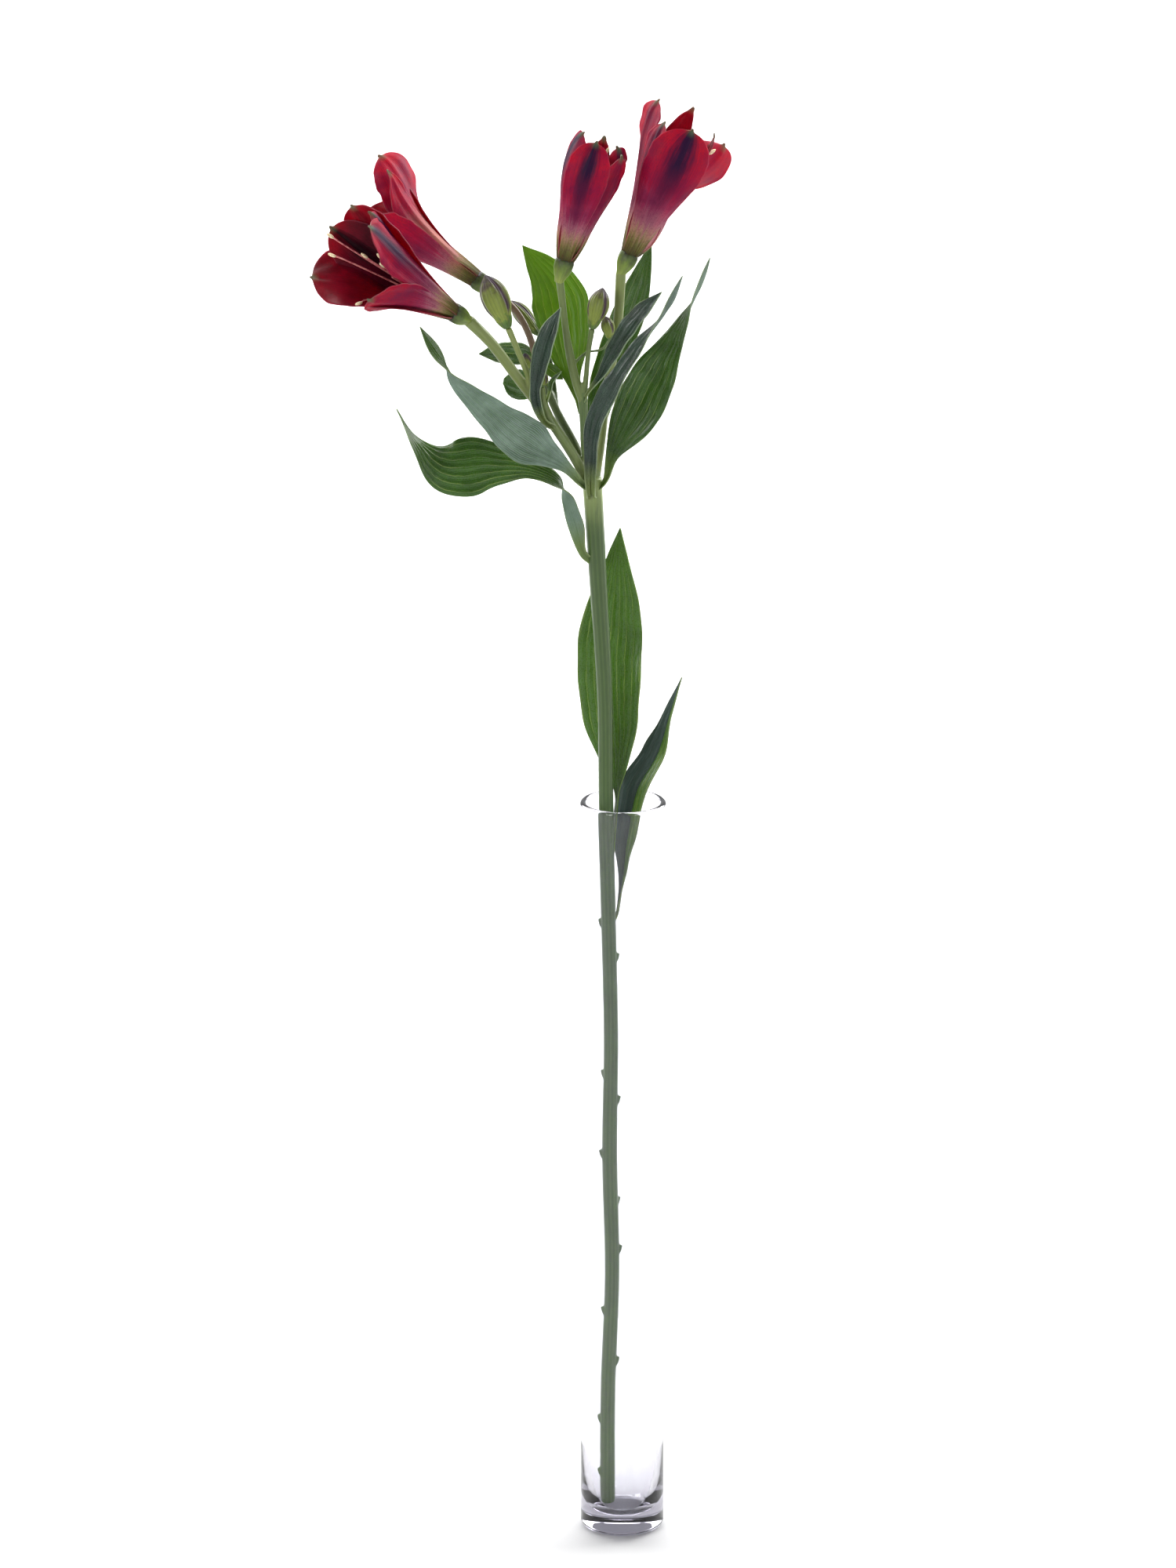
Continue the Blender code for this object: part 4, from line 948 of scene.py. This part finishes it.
def half_width(u, length, widest, outer):
    """Half the width of a tepal from claw to tip, with a small point at the end."""
    broad = 1.0 if outer else min(1.0, max(0.0, (widest - 6) / 4))
    claw, peak = 0.4 - 0.06 * broad, 0.66 + 0.06 * broad
    sharp, power = 1.8 + 0.8 * broad, 0.75 - 0.25 * broad
    top = 1 - 0.9 / length
    w = np.clip(u / top, 0, 1)
    rise = np.clip(w / peak, 0, 1)
    fall = np.clip((w - peak) / (1 - peak), 0, 1)
    body = (claw + (1 - claw) * (rise**2 * (3 - 2 * rise)) ** 1.1) * (1 - fall**sharp) ** power
    point = 1.1 * np.sqrt(np.clip((1 - u) / (2.4 / length), 0, 1))
    return np.maximum(widest * body, point)


def tepal_place(bloom, tepal, outer, seed):
    """The formula that bends a grid into one tepal's middle surface."""
    side, length, widest, leans, cup, twist, band = tepal
    steps = np.linspace(0, 1, LEAN_STEPS + 1)
    lean = np.radians(sampled(leans, steps))
    step = length / LEAN_STEPS
    start = OUTER_FOOT if outer else INNER_FOOT
    radii = start + np.concatenate([[0], np.cumsum(step * np.sin(lean[:-1]))])
    heights = np.concatenate([[0], np.cumsum(step * np.cos(lean[:-1]))])
    out = bloom.outward(side)[0]
    around = np.cross(bloom.axis, out)

    def place(u, v):
        u = 1 - (1 - u) ** 1.25
        radius, height, tilt = (np.interp(u, steps, values) for values in (radii, heights, lean))
        straight = out * np.cos(tilt)[:, None] - bloom.axis * np.sin(tilt)[:, None]
        roll = np.radians(twist) * u[:, None]
        normal = straight * np.cos(roll) - around * np.sin(roll)
        width = around * np.cos(roll) + straight * np.sin(roll)
        half = half_width(u, length, widest, outer)
        frill = np.clip((u - 0.45) / 0.4, 0, 1) * (1.0 if outer else 0.5) * np.clip((0.985 - u) / 0.05, 0, 1)
        half = half * (1 + frill * (0.014 * np.sin(37 * u + seed) + 0.010 * np.sin(83 * u + 3 * seed)))
        curl = np.maximum(radius * 1.05, 2.5) * (1 + 0.7 * u) * (1 + u * (1 / cup - 1))
        angle = v * half / curl
        ruffle = RUFFLE * np.sin(5.0 * u * np.pi + side) * v**2 * u**2
        ruffle = ruffle + frill * FRILL * np.sin(46 * u + seed + 2.1 * np.sign(v)) * abs(v) ** 3
        folds = SOFT_FOLD * np.sin(6.5 * v + 2.5 * u + seed) + FINE_FOLD * np.sin(13 * v - 3 * u + 2 * seed)
        ruffle = ruffle + folds * np.minimum(1, half / 5) * np.clip((1 - u) / 0.15, 0, 1)
        keel = KEEL * np.exp(-((v * half / 0.9) ** 2)) * np.clip(u / 0.3, 0, 1)
        hood = HOOD * np.clip((u - 0.9) / 0.1, 0, 1) ** 2
        lift = ruffle + keel - curl * (1 - np.cos(angle)) - hood
        spots = bloom.at(TEPAL_FOOT + height) + out * radius[:, None] + width * (curl * np.sin(angle))[:, None]
        tip = np.clip((u - 1 + 3.2 / length) / (2.2 / length), 0, 1) * np.exp(-((v * half / 1.3) ** 2))
        rib = v * widest / TEPAL_VEINS + MIDRIB + 20 * seed  # each tepal has streaks of its own
        marks = {"along": u, "across": v, "rib": rib, "band": band, "tip": tip,
                 "edge": np.minimum((1 - abs(v)) * half, (1 - u) * length)}
        return spots + normal * lift[:, None], marks

    return place


def build_tepals(name, floret, seed):
    """Six ruffled tepals in place of one CAD node."""
    forms = []
    for outer, tepals in ((True, floret["outer"]), (False, floret["inner"])):
        for tepal in tepals:
            seed += 1
            place = tepal_place(floret["bloom"], tepal, outer, seed)
            form = shaped_grid(90, 30 if outer else 22, place)
            bmesh.ops.remove_doubles(form, verts=form.verts, dist=MERGE)
            forms.append(form)
    piece = to_object(f"tepals_{name}_petals", forms, [inside, outside])
    thicken(piece, TEPAL_THICKNESS)
    stand_in(piece, f"tepals_{name}")


for seed, (name, floret) in enumerate(FLORETS.items()):
    build_tepals(name, floret, 7 * seed)

# %% [markdown]
# ## Ovaries and buds
# The ovary is a green knob with six ribs, stained purple at its top. A bud is three tepals folded shut: an egg
# with three grooves, fine ribs and a dusky tip. Both are round bodies on a flower's axis, so both are a grid
# rolled round it whose radius changes with the height and the side. Their skin is green tissue with a soft
# satin shine, darker in the grooves.

# %% Round green bodies
def round_body(bloom, heights, radii, along, around, groove):
    """A closed body on a bloom's axis. groove(side, share) scales its radius."""
    top = len(heights) - 1

    def place(u, v):
        height = np.interp(u * top, np.arange(top + 1), heights)
        radius = np.maximum(sampled(radii, u), 0) * groove(np.pi * v, u)
        radius = radius * ((u > 0.0001) & (u < 0.9999))
        marks = {"along": u, "round_x": np.cos(np.pi * v), "round_y": np.sin(np.pi * v),
                 "sunk": np.clip((0.985 - groove(np.pi * v, u)) / 0.1, 0, 1)}
        return bloom.at(height, 180 * v, radius), marks

    return close_seams(shaped_grid(along, around, place))


def green_body(name, stops, ribs, groove_colour, rough):
    """The skin of an ovary or bud, coloured from foot to top with darker grooves."""
    material, tree = new_material(name)
    where = add_node(tree, "TexCoord").outputs["Object"]
    along, side_x, side_y, sunk = [
        add_node(tree, "Attribute", attribute_name=mark).outputs["Fac"]
        for mark in ("along", "round_x", "round_y", "sunk")]
    angle = add_node(tree, "Math", {0: side_y, 1: side_x}, operation="ARCTAN2")
    turns = add_node(tree, "Math", {0: angle, 1: float(ribs)}, operation="MULTIPLY")
    wave = add_node(tree, "Math", {0: turns}, operation="COSINE")
    tone = add_node(tree, "TexNoise", {"Vector": where, "Scale": 500.0, "Detail": 4.0})
    shift = add_node(tree, "MapRange", {"Value": tone, 1: 0.3, 2: 0.7, 3: -0.12, 4: 0.12})
    reach = add_node(tree, "Math", {0: along, 1: shift}, operation="ADD")
    ground = add_node(tree, "ValToRGB", {"Fac": reach}, stops=stops)
    hollow = add_node(tree, "MapRange", {"Value": wave, 1: -1.0, 2: 0.2, 3: 0.26, 4: 0.0})
    grooved = add_node(tree, "MixRGB", {"Fac": hollow, "Color1": ground, "Color2": groove_colour})
    lined = add_node(tree, "MixRGB", {"Fac": sunk, "Color1": grooved, "Color2": "#3a2634"})
    bump = add_node(tree, "Bump", {"Height": wave, "Strength": 0.4, "Distance": 0.00012})
    skin = add_node(tree, "BsdfPrincipled", {
        "Base Color": lined, "Roughness": rough, "Normal": bump, "Specular IOR Level": 0.25,
        "Subsurface Weight": 0.15, "Subsurface Radius": (0.8, 1.0, 0.3), "Subsurface Scale": 0.0008})
    add_node(tree, "OutputMaterial", {"Surface": skin})
    return material


ovary_skin = green_body("ovary_skin_green", [
    (0.0, "#84904a"), (0.45, "#6c7f38"), (0.75, "#4a5a2c"), (0.9, "#38421f"), (1.0, "#33262c")],
    12, "#46562a", 0.45)
bud_skin = green_body("bud_skin_olive", [
    (0.0, "#46602c"), (0.16, "#546e30"), (0.24, "#78843a"), (0.72, "#687234"), (0.88, "#4c4238"), (1.0, "#2e2230")],
    21, "#48522a", 0.42)

OVARY_OUTLINE = [1.35, 1.6, 2.0, 2.5, 2.9, 3.15, 3.25, 3.2, 2.7]
SUNK = 1.2  # how far the ovary reaches into the stalk and the flower


def ovary_ribs(side, share):
    """Six ribs that fade at both ends."""
    return 1 + 0.05 * np.cos(6 * side) * np.sin(np.pi * share)


for name, floret in FLORETS.items():
    body = round_body(floret["bloom"], [-SUNK, OVARY_LENGTH + SUNK], OVARY_OUTLINE, 40, 60, ovary_ribs)
    stand_in(to_object(f"ovary_{name}_ribbed", [body], [ovary_skin]), f"ovary_{name}")

# %% [markdown]
# A closed bud shows where its three outer tepals meet: each overlaps the next along a line that winds a little
# up the egg. A sharp groove at three sides gives those lines, and 21 fine ribs the veins between them.

# %% Buds
BUDS = {  # foot, axis, length and radius
    "bud_large": ((-37.0, -18.5, 418.8), (-0.39, 0.03, 0.92), 18.6, 4.6),
    "bud_right": ((-10.2, -11.5, 416.8), (0.25, 0.07, 0.96), 13.6, 3.5),
    "bud_small": ((-4.3, -8.5, 412.6), (-0.2, 0.0, 0.98), 7.6, 2.2),
    "bud_tiny": ((-26.1, -15.8, 398.8), (0.12, -0.06, 1.0), 4.6, 1.6),
    "bud_left_back": ((-27.2, 7.4, 410.2), (-0.66, 0.26, 0.75), 14.2, 2.9),
    "bud_left_mid": ((-29.7, -4.5, 401.2), (-0.35, -0.15, 0.92), 6.4, 1.6),
}
BUD_RIBS = 21
BUD_OUTLINE = [0.26, 0.44, 0.58, 0.66, 0.78, 0.9, 0.97, 1.0, 1.0, 0.95, 0.84, 0.66, 0.38, 0.06]


def bud_grooves(side, share):
    """Three lines where the tepals meet, fine ribs, and the ovary's rounder ribs below."""
    meeting = np.cos(1.5 * (side + 0.5 * share)) ** 2
    shut = np.clip((share - 0.2) / 0.15, 0, 1)
    cut = 0.13 * (1 - meeting) ** 6 - 0.006 * np.cos(BUD_RIBS * side)
    return 1 - shut * cut + 0.04 * (1 - shut) * np.cos(6 * side)


for name, (foot, axis, length, radius) in BUDS.items():
    body = round_body(
        Bloom(foot, axis), [0.0, length + 0.3], [radius * reach for reach in BUD_OUTLINE], 60, 84, bud_grooves)
    stand_in(to_object(f"{name}_closed", [body], [bud_skin]), name)

# %% [markdown]
# ## Stamens
# Six thin filaments and a style stand in each throat, and each filament ends in an anther, a cream bean about
# 3 mm long that sheds pollen. A filament is a thin rolled tube, and an anther is Blender's own sphere,
# stretched and set along the filament's end. Pollen is a dry dust and rough, and a filament is smoother.

# %% Stamens
def powdery(name, light, dark, scale, rough):
    """A dry, dusty surface in two tones."""
    material, tree = new_material(name)
    where = add_node(tree, "TexCoord").outputs["Object"]
    grain = add_node(tree, "TexNoise", {"Vector": where, "Scale": scale, "Detail": 4.0})
    colour = add_node(tree, "ValToRGB", {"Fac": grain}, stops=[(0.3, dark), (0.62, light)])
    bump = add_node(tree, "Bump", {"Height": grain, "Strength": 0.5, "Distance": 0.0001})
    skin = add_node(tree, "BsdfPrincipled", {"Base Color": colour, "Roughness": rough, "Normal": bump})
    add_node(tree, "OutputMaterial", {"Surface": skin})
    return material


STAMEN_FOOT = 7.8  # height of the filaments' foot over the end of the stalk
STYLE_LENGTH = 26
ANTHER = (0.75, 0.55, 1.45)  # half its width, depth and length

pollen = powdery("anther_pollen_cream", "#f3e6c4", "#c9ab78", 2500.0, 0.8)
filament = powdery("filament_pink", "#d98a86", "#a8404e", 900.0, 0.45)


def anther(tip, heading):
    """A stretched sphere at the end of a filament."""
    form = bmesh.new()
    bmesh.ops.create_uvsphere(form, u_segments=14, v_segments=10, radius=1.0)
    bmesh.ops.scale(form, verts=form.verts, vec=[half * MM for half in ANTHER])
    turn = Vector(heading).to_track_quat("Z", "Y").to_matrix()
    bmesh.ops.transform(form, verts=form.verts, matrix=turn.to_4x4())
    bmesh.ops.translate(form, verts=form.verts, vec=Vector(tip * MM))
    for face in form.faces:
        face.material_index = 1
    return form


def build_stamens(name, floret):
    """Filaments, anthers and the style of one floret."""
    bloom, foot = floret["bloom"], STAMEN_FOOT
    forms = []
    for side, length, spread in floret["stamens"]:
        spread = spread * length
        route = np.concatenate([
            bloom.at(foot, side, 0.5), bloom.at(foot + length * 0.5, side, 0.5 + spread * 0.3),
            bloom.at(foot + length * 0.9, side, 0.6 + spread * 0.7),
            bloom.at(foot + length, side, 0.8 + spread * 0.9)])
        forms.append(rolled_tube(route, [0.4, 0.34, 0.3, 0.26], 30, 8))
        forms.append(anther(route[-1], route[-1] - route[-2]))
    style = np.concatenate([bloom.at(foot), bloom.at(foot + STYLE_LENGTH)])
    forms.append(rolled_tube(style, [0.4, 0.3], 20, 8))
    piece = to_object(f"stamens_{name}_threads", forms, [filament, pollen])
    stand_in(piece, f"stamens_{name}")


for name, floret in FLORETS.items():
    build_stamens(name, floret)

# %% [markdown]
# ## The glass tube
# The vase is a drawn glass tube with a thick rounded foot and a fire-polished lip. A lathe form is a section
# spun round the upright axis, so the section is drawn once, as a chain of points, and Blender's spin makes the
# body. Clear glass bends light with an index of 1.47 to 1.52, and it is smooth from the flame. Where light goes
# through much of it, as in the foot and along the lip, it turns violet-grey by absorption inside.

# %% Glass tube
VASE_RADIUS = 14.0
VASE_HEIGHT = 255.0
WALL = 1.8
FLOOR = 6.0  # glass under the middle
BOWL = 24.0  # height over which the inside rounds into the wall
HEEL = 2.7  # rounding of the foot's edge
RIM_BEAD = 0.2  # how much the lip is thicker than the wall, on each side
LIP_HEIGHT = 3.0


def vase_section():
    """The section from the inner floor, up, over the lip and down to the foot."""
    bore = VASE_RADIUS - WALL
    bowl = [(bore * s, FLOOR + BOWL * s**6) for s in np.sin(np.linspace(0, np.pi / 2, 22))]
    reach = WALL / 2 + RIM_BEAD
    lip = [(VASE_RADIUS - WALL / 2 + reach * math.cos(a), VASE_HEIGHT - reach + reach * math.sin(a))
           for a in np.linspace(np.pi, 0, 13)]
    heel = [(VASE_RADIUS - HEEL + HEEL * math.cos(a), HEEL - HEEL * math.sin(a))
            for a in np.linspace(0, np.pi / 2, 10)]
    under_lip = VASE_HEIGHT - LIP_HEIGHT
    return [*bowl, (bore, under_lip), *lip, (VASE_RADIUS, under_lip), *heel, (0.0, 0.0)]


def build_vase():
    """Spin the section into the tube."""
    form = bmesh.new()
    points = [form.verts.new((radius * MM, 0.0, height * MM)) for radius, height in vase_section()]
    edges = [form.edges.new(pair) for pair in zip(points, points[1:])]
    bmesh.ops.spin(form, geom=points + edges, cent=(0, 0, 0), axis=(0, 0, 1), angle=math.tau, steps=128,
                   use_merge=True)
    close_seams(form)
    material, tree = new_material("glass_soda_clear")
    glass = add_node(tree, "BsdfPrincipled", {
        "Base Color": "#fcfcff", "Roughness": 0.0, "IOR": 1.47, "Transmission Weight": 1.0})
    # light that runs along inside the wall loses nearly half of itself on the way
    depth = add_node(tree, "VolumeAbsorption", {"Color": "#8f8a9c", "Density": 62.0})
    add_node(tree, "OutputMaterial", {"Surface": glass, "Volume": depth})
    piece = to_object("vase_glass", [form], [material])
    stand_in(piece, "vase")


build_vase()
